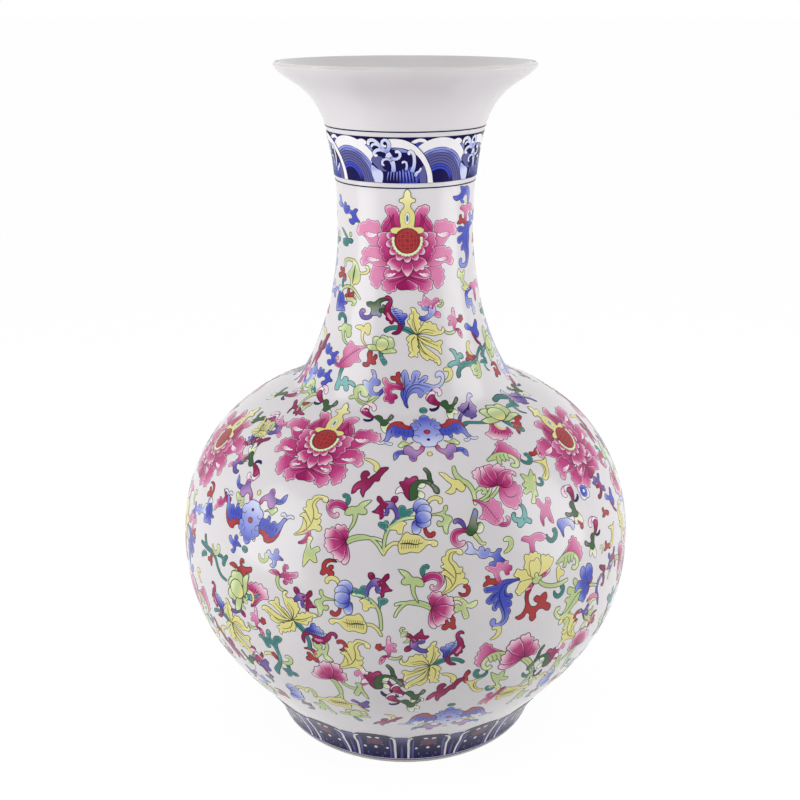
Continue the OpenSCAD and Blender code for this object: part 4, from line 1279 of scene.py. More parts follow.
def draw_tendril(s, paint):
    """An arching stem with a horn, a leaf and a curl at its end."""
    s.shape(paint, "-12.5 0.5, -9 3.5, -4 5.5, 1 5, 4.5 2, 7 -0.5, 10 0.5, 13.7 1, 12.5 -2.5, 9.5 -4,"
        "5 -3, 6 -7, 6.5 -11, 4 -12, 2 -8, 1 -4.5, -2 -6, -6.8 -4.5, -3.5 -3, -3 -0.5, -0.5 0, 0.5 -2,"
        "2.5 0, 0 3, -5 3.3, -10 0.5")


def draw_rose_sprig(s, paint, stem):
    """A ragged flower and a pointed bud on a bent stem, with a small curl."""
    s.path(stem, "-5 -0.5, -5.5 -5, -3.5 -9.5, 1 -11.3, 4 -11.3", (2.6, 2.4, 2, 1.6, 1))
    s.path(paint, "1.5 2.5, -0.5 6, 0.7 8.6, 2.6 7.8, 2 6.2", (1.6, 2, 2, 1.8, 1.4))
    s.shape(paint, "-4 -0.5, -7 -0.5, -14 0.3 0, -10 2.8, -6.5 2.8, -3.5 0")
    s.shape(paint, "-4.5 -1.5, -2 1.5, 1 3.6, 5 3.5, 8.5 4.5, 11.5 5.3, 12 3.3, 9 0.5, 5.5 -0.2, 8 -2,"
        "7 -3.8, 4.5 -3.3, 3 -5.5, 1 -5.5, 0 -3.5, 2 -2.3, 0 -1")


def draw_fish(s, paint):
    """A scroll like a fish with a forked tail."""
    s.shape(paint, "8 -0.2, 5 1.8, 2.7 2.8, 3 5.5, 1 6.8, -1 4.8, -0.5 2.3, -3 1.8, -6 4.3, -7.8 3,"
        "-5.5 -0.5, -1.5 -2.5, -1 -4.7, -3.5 -6.5, -0.5 -7.7, 1.8 -5, 2 -1.5, 4.5 -0.5")


def draw_teal_branch(s, paint):
    """A long stem that ends in a round arm and a fork of short arms."""
    s.path("crown", "-1 -6, -6 -5.4, -10 -6.5, -12.5 -9.5", (1.4, 2.2, 2.4, 1))
    s.shape("red", "1 -7.5, -2 -3, -4.3 -4, -3 -7, 1 -9.5", 2)
    s.shape(paint, "-2 -27.5, -5 -23, -2.5 -17.5, 1 -12, 2 -5.5, 0.5 0, -2.5 4.5, -5.5 5, -4.5 1.5,"
        "-7.5 0.5, -9.5 3.5, -12 7, -15.3 8.5, -13.5 10.6, -9 9, -6.5 10.5, -7 15, -5.3 17.7, -3.3 16.5,"
        "-3.5 11, -1.5 8.5, 0 12, 4 14.6, 7.5 13.5, 6 10.3, 3 7.5, 3 2, 4.5 -4, 4.4 -10.5, 3 -15,"
        "0 -21.5", 3)


def draw_green_hook(s, paint, arm):
    """A hooked leaf with a three-armed scroll hanging from it."""
    s.path(paint, "-5.5 -1.5, 0 -1.2, 3.4 1.5, 3.6 5, 1 6.4, -1 5.2", (1.6, 2.8, 3, 3, 2.8, 2))
    s.shape(arm, "0 -2.3, -1.5 -4, -0.5 -7, -3 -8, -6 -8.5, -4.5 -11, -2.8 -12.5, -2 -16, 1 -15,"
        "1.5 -12.3, 4.5 -13.5, 8 -12, 6.5 -9.8, 3 -9, 1.5 -6, 1.5 -3.5")


def draw_leafy_stem(s, paint, curl):
    """A stem with a pair of broad leaves and a folded flower on its end."""
    s.path(paint, "-13.5 1.5, -9 -4, -3 -5.8, 2 -4", (1.4, 2.4, 2.6, 3))
    s.path(curl, "3 -0.5, 6.3 4, 6.5 9, 3.5 12.8, 0.3 11.7, 0 8.5", (2, 5, 5.4, 5, 3.4, 2.4))
    s.shape("blush", "7 2, 8.5 6, 9.8 10 1, 7.5 14 1, 3.5 15.7, 6 10")
    s.shape(paint, "2 0.5, -2 0.7, -0.5 -3, -2.5 -7, -4.7 -12, -3 -15, -0.5 -12, 1 -9, 2.5 -13, 5.2 -18,"
        "4.5 -11.5, 2.8 -6", 2)


def draw_bloom(s):
    """A small round flower of pale petals round a blue eye."""
    for step in range(4):
        s.petal("frost", 0, 0, 45 + 90 * step, 7.5, 8)
    s.dot("blue", 0, 0, 8.4, 8.8, layer=2)
    s.dot("white", 0, 0, 2.6, layer=3, ink=0)


def draw_sprig(s, paint):
    """A small sprig with a long pointed arm and a round one, and a green dot."""
    s.dot("green", 4.5, 5, 3)
    s.shape(paint, "7.7 0.5, 5 1.7, 1.5 1, -1 3.5, -6 7, -10.2 8.6 0, -6 5, -2 1.5, -5 0, -7.7 -1, -7 -4,"
        "-3 -5, 0.5 -4.5, 2 -2, 6 -1.7")


def draw_ram(s, paint):
    """A scroll like a ram's head with a long horn."""
    s.shape(paint, "-12.3 0, -9 0, -4 1.5, -3 4, -4.5 6.6, 1 6.2, 6 6, 9 3.5, 10.2 -2, 9 -7, 7 -8.7,"
        "7 -4, 6 -0.5, 3 0.5, 1 -1, -1 -3.5, 2 -6, -2 -5.7, -4 -3, -8 -3.5, -11 -2")


def draw_stalk(s, paint):
    """A long bent stem."""
    s.path(paint, "-10 -16, -9.6 -8, -8 -1, -4.5 4.5, 1 8.4, 7 10.4, 13 11", 2)


def draw_double_peony(s):
    """A peony of two halves, a dark one over a light one, on two stems."""
    s.path("green", "-18 -9, -11 -6.5, -7 -3, -5 1", (1.4, 1.8, 1.8, 1.4))
    s.path("green", "-16 -10.5, -8 -8, -2 -4, 2 0", (1.4, 1.8, 1.8, 1.6))
    s.path("green", "-11 -5, -11 -1, -14 0.6, -16 -1", (1.6, 2.6, 2.6, 1.6))
    s.shape("pink", "2 -1, 0 -6, 0.3 -12, 3 -16.5, 7 -18.5 1, 13 -17.4 1, 16 -12.6 1, 18.4 -8 1,"
        "16.5 -3 1, 13.5 0, 8 0", 2, rim=3)
    s.line("soft_ink", "3.5 -5, 6 -10, 11 -11, 15 -9.5", (0.5, 0.7, 0.6, 0.3), 3)
    s.shape("petal", "2 0, 6 -2.5, 10 -2.5, 13.5 0, 14.4 5 1, 13.5 9, 10 9.5, 8 4", 4, rim=2.5)
    s.shape("petal", "0 0.5, 1.5 7, -1 12, 1.5 13.5 1, 4.5 16.5 1, 8.5 14.5 1, 10.5 11, 6 8", 3, rim=2.5)
    s.shape("petal", "-1 0.5, -9 0.6, -14 3, -14.8 8 1, -15.8 11.6 1, -13.4 15 1, -8.4 14.5, -7 7", 3,
        rim=2.5)
    s.shape("petal", "-1 0.5, -8 3.5, -10.2 8.5, -9 13.6 1, -6.6 17 1, -3.6 15, -1.5 9", 4, rim=2.5)
    s.shape("rose", "-0.4 0.5, -3.4 6, -5 13 1, -2.4 17.6 1, 1 14, 2 7", 5, rim=2.5)
    s.shape("rose", "0.4 0.2, 2 5.5, 6 9.6, 11 11, 16 9.4, 19 6.2, 18.2 4.2, 15.6 6.8, 11.6 7.6, 8 5,"
        "4.5 0.6", 6, rim=2.5)


def draw_ribbed_leaf(s, paint):
    """A drooping leaf with close ribs and a curled tip."""
    s.about(0, -10)
    s.path("petal", "3 -17, 7 -20.6, 11.5 -20.6, 13.4 -17.5, 11.5 -15.5", (3.4, 3, 2.6, 2.4, 2))
    s.shape(paint, "-12 1, -7.5 0.4, -3 -2, 1 -2 1, 4.5 -0.4, 6.5 -3 1, 8.5 -8 1, 7 -14 1, 6 -19, 2 -20,"
        "-2.5 -17.5, -5 -15, -10.5 -13.2 0, -7 -10.5, -6 -4.5, -8.5 -1", 2, rim=2)
    s.line("soft_ink", "-8 -0.5, -2 -6, 1 -12, 5 -18.6", (0.6, 0.7, 0.6, 0.4), 3)
    for step in range(7):
        x, y = -4 + 1.1 * step, -4.5 - 1.9 * step
        s.line("rose", ((x, y), (x + 4, y + 1.4), (x + 6.8 - 0.5 * step, y + 1)), 0.4, 3)
        s.line("rose", ((x, y), (x - 1.6, y - 3), (x - 1.8, y - 5.4 + 0.5 * step)), 0.4, 3)


def draw_antler(s, paint):
    """A bent stem with two curled arms."""
    s.path(paint, "1 9.5, 4 4, 3 -2, -1 -5.4, -4 -7.6", (1.6, 2.6, 3.6, 5, 4))
    s.path(paint, "-4.2 2.6, -6.4 1.4, -5.6 -2, -1 -3.4", (3, 3.2, 3.4, 3))
    s.path(paint, "1 -3, 5 -4.6, 8.4 -7", (3, 3.2, 3.4))


def draw_cross(s, paint):
    """Four rounded arms, the lower two pointed."""
    s.shape(paint, "-7.4 -10.4, -7.6 -5, -5 -0.6, -3 2, -4.6 6, -3.6 9.6, -1 10.4, -0.4 7.4, 1.6 4.6,"
        "4.6 6.4, 6 9, 9 8.4, 8.4 4.6, 5.6 2.4, 4 -2, 3.8 -7, 2.6 -10.6, 0 -8, -0.6 -3.4, -4 -4.6")


def draw_arch(s, paint):
    """A thick arch with one foot, and a red hook at its end."""
    s.path("red", "8 -1, 12 -0.8, 16 -3, 17.2 -6, 15.6 -8", (1.2, 1.8, 2.2, 3.2, 3.6))
    s.shape(paint, "-6.6 -7.6, -7.8 -2, -9 3.4, -7 5.8, -2 5.6, 4 4, 8 0, 7.8 -4, 5.4 -5.4, 4 -2, 0 0,"
        "-4.2 -1.6", 2)


def draw_iris(s):
    """A blue flower with red chips, on a violet branch with a striped leaf."""
    s.path("green", "-1 1, 5 -1, 11 -4", (2.4, 2, 1.4))
    s.path("violet", "16 -24, 14 -16, 11 -8, 13 -2, 19 2.4", (1.2, 2.6, 2.8, 2.8, 2.4))
    s.path("plum", "15.6 11, 20 7.6, 24.6 5, 22 2, 23 -3, 21.4 -7.6, 18.6 -6.4",
        (1.6, 3.6, 4, 3, 2.8, 2.6, 2))
    s.path("yellow", "0 -15.6, 5 -14.6, 11 -16", (1, 2, 1.4))
    s.path("pink", "-3 -12.6, 3 -11, 9 -12, 13 -15.6", (1.6, 3.2, 3, 1.6), 2)
    s.path("red", "0 2, 2 5, 3.4 7", (2.4, 4, 3), 2)
    s.path("plum", "-1 1, -2.6 -2, -4 -6", (2.4, 3.6, 2), 2)
    s.shape("blue", "0 2.6, -10 8, -14 9.6, -18.6 5, -19.4 1.6, -15 3.4, -10 2", 3)
    s.shape("blue", "-1 1, -9 1.4, -13 -3 1, -11 -8 1, -6 -8.8, -4 -4", 4)
    s.shape("blue", "-1 3, -9 8, -12 13, -11.4 18, -8 19.6, -5.4 15.6", 4)
    s.shape("blue", "0 3, -4.6 11, -5 16, -2.6 19.4, 0.6 19, 4.2 13.4, 3 7", 5)


def draw_fork_stem(s, paint):
    """A long stem with a fork at each end of its upper part."""
    s.path(paint, "-15.4 11.4, -12.6 6, -9 2.4", (3, 3, 3))
    s.path(paint, "-18.6 -8, -14 -4, -9.4 -3", (2.4, 4, 3))
    s.path(paint, "-21.4 3, -10 2.4, 5 -0.6, 10 -7.6, 15 -12, 22.4 -13.6", (2, 3.6, 3, 2.4, 2.4, 1.4))
    s.path(paint, "8 2.6, 13 3.6, 18 1", (2, 2.2, 2.6))
    s.path(paint, "21 6.6, 18 2, 17 -3", (2.4, 4, 4))


# The wave band and the lappets, drawn one unit at a time


def ringed(outer, inner):
    """The outline of a band between two arcs, with corners at its ends."""
    outline = []
    for edge in (outer, inner[::-1]):
        outline += [(*edge[0], 0), *edge[1:-1], (*edge[-1], 0)]
    return outline


def draw_wave(s):
    """A breaking crest with foam hooks under a white arch, and a ribbed hill beside it."""
    s.about(0, -17.6)
    s.shape("line", "-24 1, -29.5 9, -30 10.8, -26 11.8, -21 11, -19 8")
    s.shape("white", "-33.5 12.5, -30 15.4, -26 15.8, -23 13, -24.5 11.6, -30 11.2", 2)
    s.shape("surge", "17.5 8.5, 13.8 12.4, 17 14.4, 21 13", 1)
    s.shape("white", "10.5 14.2, 13.5 16.2, 17 17, 20.5 16.2, 22.3 14.3, 19.5 13.9, 16.5 14.4, 13 13.2", 2)
    hill = 33.4
    tints = ("white", "line", "swell", "hill", "hill", "hill", "hill", "surge", "surge", "deep", "deep")
    for step, tint in enumerate(tints):
        reach, rise = (30, 34.8) if step == 0 else (26.6 - 1.9 * step, 29 - 2.1 * step)
        s.shape(tint, [(hill, -17.4), *arc(hill, -17.4, reach, rise, 0, 180, 12)], 2 + step, ink=0.6,
            rim=0)
    outside = points_of("-6 16.7, 0 16.8, 5 16, 10 13.8, 15 10.2, 20 4.6, 24 -2, 27 -9, 28.6 -17.4")
    inside = points_of("-6 10, 0 10.2, 6 9.2, 11 7, 15.5 3.5, 19 -1, 22 -6.5, 23.6 -12, 24.2 -17.4")
    s.shape("deep",
        [*inside[:-1], (*inside[-1], 0), (-12, -17.4, 0), (-20, -8), (-18, 2), (-10, 8)],
        13)
    s.shape("white", ringed(outside, inside), 14)
    s.shape("hill", "18 -17.2 0, 23.4 -17.2 0, 22.6 -10, 20.5 -4, 18.5 -5.5, 17.2 -11", 14, ink=0, rim=0)
    s.shape("line", "-5 9.2, 0 9.6, 5 8.8, 8.6 6.8, 5 6.4, 0 7.6", 14, ink=0)
    s.shape("hill", "-8 -8, -13 -8, -17.5 -4, -20.5 -0.5, -17.5 3.5, -12 2.5, -7 -1", 15, ink=0.4)
    s.shape("pale", "-18.5 -17.2 0, -21 -9.5, -20.5 -4, -16.5 -6.5, -12 -9, -11.5 -13, -12.5 -17.2 0", 15,
        ink=0.4)
    s.shape("surge", "-2 -17.2, -12 -17.2 0, -11 -12, -9 -8.6, -5 -8, -3 -3, -1 -3, 0 -7.5, 4 -9, 7.5 -7,"
        "11 -4.5, 13 -5, 13.5 -11, 16.6 -9, 17 -12, 16 -17.2 0", 15, ink=0.4, rim=0)
    for foot in range(10):
        x = -9.5 + 2.6 * foot
        lean = 0.5 * (4 - foot)
        s.line("ink", ((x, -17), (x + 0.3 * lean, -12.5), (x + 0.8 * lean, -9 + (foot % 3))),
            (1, 0.9, 0.3), 16)
        s.line("line",
            ((x + 1.2, -16), (x + 1.2 + 0.3 * lean, -12), (x + 1.1 + 0.8 * lean, -8.6 + (foot % 3))),
            (0.2, 0.6, 0.9), 16)
    s.dot("deep", -8, -3.8, 7, 7.4, layer=16, ink=0.4)
    s.dot("deep", 2.6, -4, 9, 9, layer=16, ink=0.4)
    s.path("foam", "-3 -9, -3 -3.5, -4.6 1, -7.5 5, -8.5 8.5", (4, 3, 4, 5, 4.6), 17, ink=0.4)
    for points, width in (
            ("-4 -0.4, -8 1.2, -11.2 -0.2, -11.6 -3, -10 -4", (2.6, 2, 2.2, 2.2, 1.6)),
            ("-5 2, -0.6 1.2, 2 3, 2 6, 0 7.3, -1.2 6", (3.4, 2.6, 2.6, 2.6, 2.8, 2.6)),
            ("6.6 -7.6, 7.4 -3.6, 6.5 -1, 4.5 -0.7, 3.9 -2.2", (3, 2, 1.8, 2, 1.8)),
            ("11 -9, 12.8 -4, 13 1, 12 5.4, 10 7.3, 8.7 6, 9.6 4.6", (5, 3.6, 3, 2.8, 3, 3, 2.6)),
            ("14 -12.5, 15 -9.5, 17.3 -8, 18.4 -5.5", (3.6, 2.8, 2.2, 1.6)),
            ("-7.5 6, -12 8.2, -16 7.4, -17.8 5.4, -16.8 3.4, -15 4", (4, 3.2, 3, 3, 3, 2.6)),
            ("-8 7, -12 9.6, -14.4 13.4, -18 15.6, -21.3 14.4, -21.8 11.2", (4.4, 3.4, 3, 3.2, 3.2, 2.6)),
            ("-11.5 9, -15 12, -18 12.2, -19.6 10", (2, 2, 2.2, 2)),
            ("-8 6.5, -6 10, -6 14, -8 16, -10.5 15, -11 12.4, -9 10.8, -7.9 11.8",
             (4.6, 3.4, 3.2, 3, 2.8, 2.6, 2.4, 2))):
        s.path("foam", points, [0.8 * share for share in width], 18, ink=0.5)
    s.dot("deep", -10.5, 4.4, 4.4, 4, layer=19, ink=0)


def draw_lappet(s):
    """A dark panel with white and lilac lines on both sides, a small flower, and drops under it."""
    s.shape("panel", "0 0.2, -15.8 0.2 0, -15.8 34, -14 39.4, 14 39.4, 15.8 34, 15.8 0.2 0", ink=0, rim=0)
    s.line("white", "-15.2 0.4, -15.2 15, -15.2 30, -14.6 36, -12.4 39.2", (1.8, 1.8, 1.9, 2, 2), 2)
    s.line("white", "16.4 0.4, 15.6 12, 14.9 22, 15.4 32, 13.6 37.4, 11 39.2", (1.8, 1.8, 1.8, 2, 2, 2), 2)
    s.line("lilac", "-11.6 0.4, -11.8 20, -11.6 35", (2, 1.6, 1), 2)
    s.line("lilac", "14 0.4, 12.6 15, 11.6 27, 11.8 36", (2, 1.8, 2.4, 1.4), 2)
    s.line("lilac", "-14 0.4, -13.6 20", (0.8, 0.6), 2)
    s.shape("ember", "0 22, -6 26, -5.5 33, 0 35.5, 5.5 33, 6 26", 2, ink=0)
    for x, y, wide, high in ((-2.8, 38.2, 3.6, 4.6), (3.2, 37.6, 3.8, 4.6), (0.2, 18.4, 2.8, 5),
                             (-9, 18, 2.4, 4.4), (9.2, 17.4, 2.6, 4.6)):
        s.dot("white", x, y - 0.8, wide, high - 1, layer=3, ink=0)
    for x, y, wide, high in ((-6.6, 7.4, 1.6, 4.6), (0.4, 7.2, 1.6, 3), (7.8, 6.4, 1.6, 4.6),
                             (-4, 2.6, 1.2, 2), (5.8, 2.6, 1.2, 2), (-5.6, 23.4, 3, 2.6),
                             (5.6, 23.2, 3, 2.6)):
        s.dot("lilac", x, y, wide, high, layer=3, ink=0)
    s.dot("bloom", 0.2, 28, 3.6, 4.4, layer=3, ink=0)


def draw_lappet_gap(s):
    """The shaded strip between two panels, dark at the foot and lighter above."""
    s.shape("shade", "0 0.2, -4.8 0.2 0, -4.8 39.4 0, 4.8 39.4 0, 4.8 0.2 0", ink=0, rim=0)
    s.line("lilac", "0 0.6, 0 12, 0 24", (2.6, 1.8, 0.4), 2)


# Every function whose name starts with draw_ is a drawing, and the rest of its name is its kind

DRAWINGS = {name[5:]: value for name, value in globals().items() if name.startswith("draw_")}

# Which drawings make up each piece

LOTUS_KINDS = ("lotus",)
BAT_KINDS = ("bat",)
LILY_KINDS = ("lily", "yellow_lotus")
PEONY_KINDS = ("peony", "pink_fan", "clover", "goblet", "comma_flower", "blue_flower", "fan_bud", "bird",
               "mallow", "bloom", "double_peony", "iris")
LEAF_KINDS = ("pink_leaf", "yellow_leaf", "long_leaf", "veined_leaf", "folded_leaf", "blue_acanthus",
              "acanthus", "tall_acanthus", "flame", "thorn", "ribbed_leaf")
BUD_KINDS = ("lotus_bud", "plum_bud", "moss_bud", "round_bud", "smoke_bud")
OTHER_KINDS = set(DRAWINGS).difference(LOTUS_KINDS, BAT_KINDS, LILY_KINDS, PEONY_KINDS, LEAF_KINDS,
                                       BUD_KINDS)


# Where the drawings lie: for each region of the scroll, rows of a drawing and its paints, then millimetres to
# the right of the region's middle and up from it, the turn to the left, and the size, which mirrors the
# drawing if it is negative

REGIONS = {
    "crown": "lotus pink 0 0",
    "neck_left": "grey_branch 3 22, trefoil yellow -5 2, lotus_bud 13 -4, scroll red 5 -17,"
        "pink_leaf pink -15 -17, coral mint -18 -38, swirl green teal -25 2, arc -24 33,"
        "blue_flower blue -34 23",
    "neck_right": "lily -23 3, hook_scroll sky pink -10 24, mallow 10 8, blue_hook sky 30 24,"
        "bird blue 31 -1, branch 15 -24, curl yellow -4 -30",
    "upper_left": "thorn blue 0 30, sprig teal -3 6, yellow_leaf lime 8 -18, scroll red -9 -22 100",
    "upper_right": "ram blue 0 40, ladle pink 6 27, chip red 0 19, long_leaf blue 5 0, twist lime -3 -27",
    "shoulder": "green_swirl green -34 0, crescent sky -26 9, clover rose red -9 8, blue_acanthus sky 10 8,"
        "plum_bud 28.5 -5, plum_bud -24 -17, fan_bud 50 -14",
    "breast": "bat 0 0",
    "left_lotus": "lotus rose 0 2.5 2, plum_bud -24.5 38.5, wisp plum -46 22 120, arc -42 34 60 -1,"
        "hook_scroll violet pink -50 0",
    "right_lotus": "lotus rose 36 -15 10, wavy_stem teal -31 28, lotus_bud -8 33 0 1.5, pink_fan -23 15,"
        "wisp red 0 16, trefoil teal 15 30, wavy_stem teal 22 41 -10 1.4, folded_leaf -38 -6,"
        "chip red -9 -13 200, comma teal -22 -15, horn yellow -11 -27, spray green -32 -33,"
        "comma teal -24 -36 0 0.7",
    "middle_left": "flame plum -28 25, comma_flower -45 2, peony -46 -21, stalk green -6 -12,"
        "hook_scroll violet plum -14 7 90, teal_trio teal -3 1, heart teal -16 -8, lobed yellow -5 -8",
    "middle_right": "moss_bud 6 21, round_bud 12 0, green_sprig green 28 -3, veined_leaf 6 -20,"
        "fork yellow green 36 23, smoke_bud 44 -13",
    "double_peony": "double_peony 11 9, ribbed_leaf pink 0 -10, antler mint 24 -17, spray lime 40 2",
    "left_edge": "comma lime 8 23 90 0.8, blue_flower blue -27 0, wisp rose -13 15, hook red -35 17,"
        "fork_stem teal -10 -28, comma lime -6 -21, chip red -11 -31 90",
    "right_edge": "iris -5 -5, long_leaf green -29 -9 -50, spray lime -31 -27 30 0.8,"
        "bird violet -10 -27 0 0.8, hook_scroll plum violet 34 2 90, chip red 27 16,"
        "comma lime 16 18 90 0.6",
    "neck_left_edge": "thorn blue -5 -19, thorn blue -5 -38 20, flame plum -23 -24 20, chip red 5 29,"
        "comma green 9 26 90 0.7",
    "neck_right_edge": "ladle pink 16 32, chip red -11 -21, comma lime -11 -33 90,"
        "trefoil teal 3 -30 0 0.7, hook red 18 -38, lotus_bud 22 -17 -90 1.2",
    "low_left": "bat -42 34.5 180, fish sky -12 13, fish blue -55 12, comma lime -23 11 0 0.8,"
        "rose_sprig rose green -2 1, rose_sprig red green -45 -6, lotus_bud -50 -22 75 1.5,"
        "pink_fan -28 -20 180, lily 7 -32 -65 -1, hook_scroll violet plum 16 -13 -90 -1,"
        "round_bud 48 -6 0 -1, veined_leaf 55 -26 0 -1, hook red 33 15 0 -1, spray lime 18 22 200,"
        "curl rose 10 34, acanthus yellow 11 50, plum_bud -60 74 180, lily -74 100 110 0.55,"
        "hook_scroll violet plum 73 6 -90 -1, teal_trio teal 63 -3 0 -1, green_sprig green 32 -13 0 -1,"
        "heart teal 77 -8 0 -1, lobed yellow 66 -10 0 -1, stalk green 67 -14 0 -1, comma_flower 106 8 0 -1",
    "low_right": "acanthus yellow -38 11, peony -53 -15 0 -1, comma red -30 -4 30 0.8,"
        "tendril lime -34 -14, hook red -42 -27",
    "yellow_lotus": "thorn sky -8 21, curl lime 8 25, ladle pink 30 23, comma teal 49 23,"
        "goblet pink red -3 6, tall_acanthus blue 0 -15, yellow_lotus 29 0, red_branch red 25 -27,"
        "comma teal 52 -22, lobed yellow 53 -8 60",
    "far_right": "cross pink -44 13, arch sky -29 -3, plum_bud -13 11 40 -1, plum_bud 1 -21 20 -1,"
        "bloom 6 14, hook_scroll plum violet 33 10, chip red 27 -13, folded_leaf -33 -25, bird blue 45 -8,"
        "horn yellow 32 -32",
    "bottom_left": "tendril green 11 10 -60, hook red 2 1, teal_branch teal -32 -5,"
        "green_hook green teal -22 -14, bird violet -50 -28, peony 16 -18 -90, acanthus yellow 34 6 -20,"
        "comma red 26 14 90 0.8, leafy_stem green pink 36 -22, moss_bud 52 -17, comma navy 58 -30",
    "bottom_right": "hook_scroll violet plum -40 21 0 -1, comma green -48 24 90 0.7, lily -29 -1 -5 -1,"
        "mallow -60 12 0 -1, curl yellow 21 22, folded_leaf 20 2 0 -1, peony 47 -6 -75 1.3,"
        "chip red 0 -16 90, comma teal 12 -14 0 -1, horn yellow 8 -27 0 -1, spray green 28 -24 0 -1,"
        "comma teal 22 -34 0 -0.7, flame plum -16 -30, plum_bud -45 -30, comma plum -54 -18,"
        "comma teal 55 -28",
    "foot_front": "bat 17 -11.5 0 0.97, flame plum -32 -18 0 0.8, plum_bud -22 20,"
        "bird violet -53 12 0 0.8, lotus_bud -57 -5, flame rose 50 12 0 0.8",
    "foot_side": "round_bud 0 4, spray green 22 -6 40, hook red -18 -8, fish sky -34 4,"
        "veined_leaf 38 8 0 -1, comma teal 4 -16 90, heart teal -22 14, curl lime 18 14 40",
    "upper_side": "thorn blue -8 24 30, sprig teal 10 4, chip red -10 2, long_leaf sky 2 -22 10 -1",
}

# Each region's angle from the front, towards the right, and its height, then its size, which mirrors it if
# negative. The whole is repeated on the back by a half turn

LAID_REGIONS = (
    ("crown", 1.5, 438), ("neck_left", -26, 362), ("neck_right", 28, 362), ("upper_left", -53, 428),
    ("upper_right", 54, 430), ("upper_side", 92, 428), ("upper_side", 88, 368, -1), ("shoulder", 0, 318),
    ("shoulder", 94, 312, -1), ("breast", 8.5, 300), ("left_lotus", -30, 292),
    ("left_lotus", -74.5, 267, -1), ("right_lotus", 48, 288), ("middle_left", 0, 256),
    ("middle_right", 0, 256), ("middle_left", 91, 250), ("low_left", -28, 205), ("low_right", 22, 208),
    ("yellow_lotus", 22, 208), ("far_right", 52, 235), ("yellow_lotus", -68, 200, -1),
    ("low_right", 82, 192), ("yellow_lotus", 82, 192), ("double_peony", 22, 262), ("left_edge", -50, 225),
    ("right_edge", 50, 182), ("neck_left_edge", -52, 362), ("neck_right_edge", 54, 362),
    ("bottom_left", -22, 145), ("bottom_right", 14, 145), ("bottom_right", -54, 148, -1),
    ("bottom_left", 52, 142, -1), ("bottom_right", 86, 142), ("foot_front", 6, 88), ("foot_side", -30, 90),
    ("foot_front", -62, 86, -1), ("foot_side", 40, 92, -1), ("foot_front", 74, 86), ("foot_side", 102, 92),
)


# Finishes


def new_material(name):
    material = bpy.data.materials.new(name)
    material.use_nodes = True
    tree = material.node_tree
    return material, tree.nodes, tree.links, tree.nodes["Principled BSDF"]


def node_of(nodes, kind, **settings):
    node = nodes.new("ShaderNode" + kind)
    for name, value in settings.items():
        setattr(node, name, value)
    return node


def new_group(name, inputs, outputs):
    """An empty shader node group with its sockets, given as name and socket type."""
    group = bpy.data.node_groups.new(name, "ShaderNodeTree")
    for socket, kind in inputs.items():
        group.interface.new_socket(socket, in_out="INPUT", socket_type=kind)
    for socket, kind in outputs.items():
        group.interface.new_socket(socket, in_out="OUTPUT", socket_type=kind)
    entry = group.nodes.new("NodeGroupInput")
    leave = group.nodes.new("NodeGroupOutput")
    return group, entry.outputs, leave.inputs


def fired_ripple():
    """A group that turns a place into the long soft ripple of a fired surface, and a fine grain."""
    group = bpy.data.node_groups.get("fired_ripple")
    if group:
        return group
    sockets = {"Place": "NodeSocketVector", "Ripple": "NodeSocketFloat", "Grain": "NodeSocketFloat"}
    results = {"Height": "NodeSocketFloat", "Cloud": "NodeSocketFloat"}
    group, given, wanted = new_group("fired_ripple", sockets, results)
    nodes, links = group.nodes, group.links
    wide = node_of(nodes, "TexNoise")
    wide.inputs["Scale"].default_value = 26
    wide.inputs["Detail"].default_value = 1
    fine = node_of(nodes, "TexNoise")
    fine.inputs["Scale"].default_value = 900
    fine.inputs["Detail"].default_value = 3
    for noise in (wide, fine):
        links.new(given["Place"], noise.inputs["Vector"])
    long_swell = node_of(nodes, "Math", operation="MULTIPLY")
    links.new(wide.outputs["Fac"], long_swell.inputs[0])
    links.new(given["Ripple"], long_swell.inputs[1])
    both = node_of(nodes, "Math", operation="MULTIPLY_ADD")
    links.new(fine.outputs["Fac"], both.inputs[0])
    links.new(given["Grain"], both.inputs[1])
    links.new(long_swell.outputs[0], both.inputs[2])
    links.new(both.outputs[0], wanted["Height"])
    links.new(wide.outputs["Fac"], wanted["Cloud"])
    return group


def fired_surface(name, tint, shade, roughness, ripple, grain, gloss=0.5):
    """A fired material: a tint that clouds over into a shade, with a soft ripple and a fine grain."""
    material, nodes, links, shader = new_material(name)
    place = node_of(nodes, "TexCoord")
    surface = node_of(nodes, "Group", node_tree=fired_ripple())
    surface.inputs["Ripple"].default_value = ripple
    surface.inputs["Grain"].default_value = grain
    links.new(place.outputs["Object"], surface.inputs["Place"])
    ramp = node_of(nodes, "ValToRGB")
    ramp.color_ramp.elements[0].position = 0.3
    ramp.color_ramp.elements[0].color = (*shade, 1)
    ramp.color_ramp.elements[1].position = 0.7
    ramp.color_ramp.elements[1].color = (*tint, 1)
    links.new(surface.outputs["Cloud"], ramp.inputs["Fac"])
    links.new(ramp.outputs["Color"], shader.inputs["Base Color"])
    bump = node_of(nodes, "Bump")
    bump.inputs["Strength"].default_value = 1
    bump.inputs["Distance"].default_value = 0.001
    links.new(surface.outputs["Height"], bump.inputs["Height"])
    links.new(bump.outputs["Normal"], shader.inputs["Normal"])
    shader.inputs["Roughness"].default_value = roughness
    shader.inputs["Specular IOR Level"].default_value = gloss
    return material


def darker(tint, share):
    return tuple(channel * share for channel in tint)


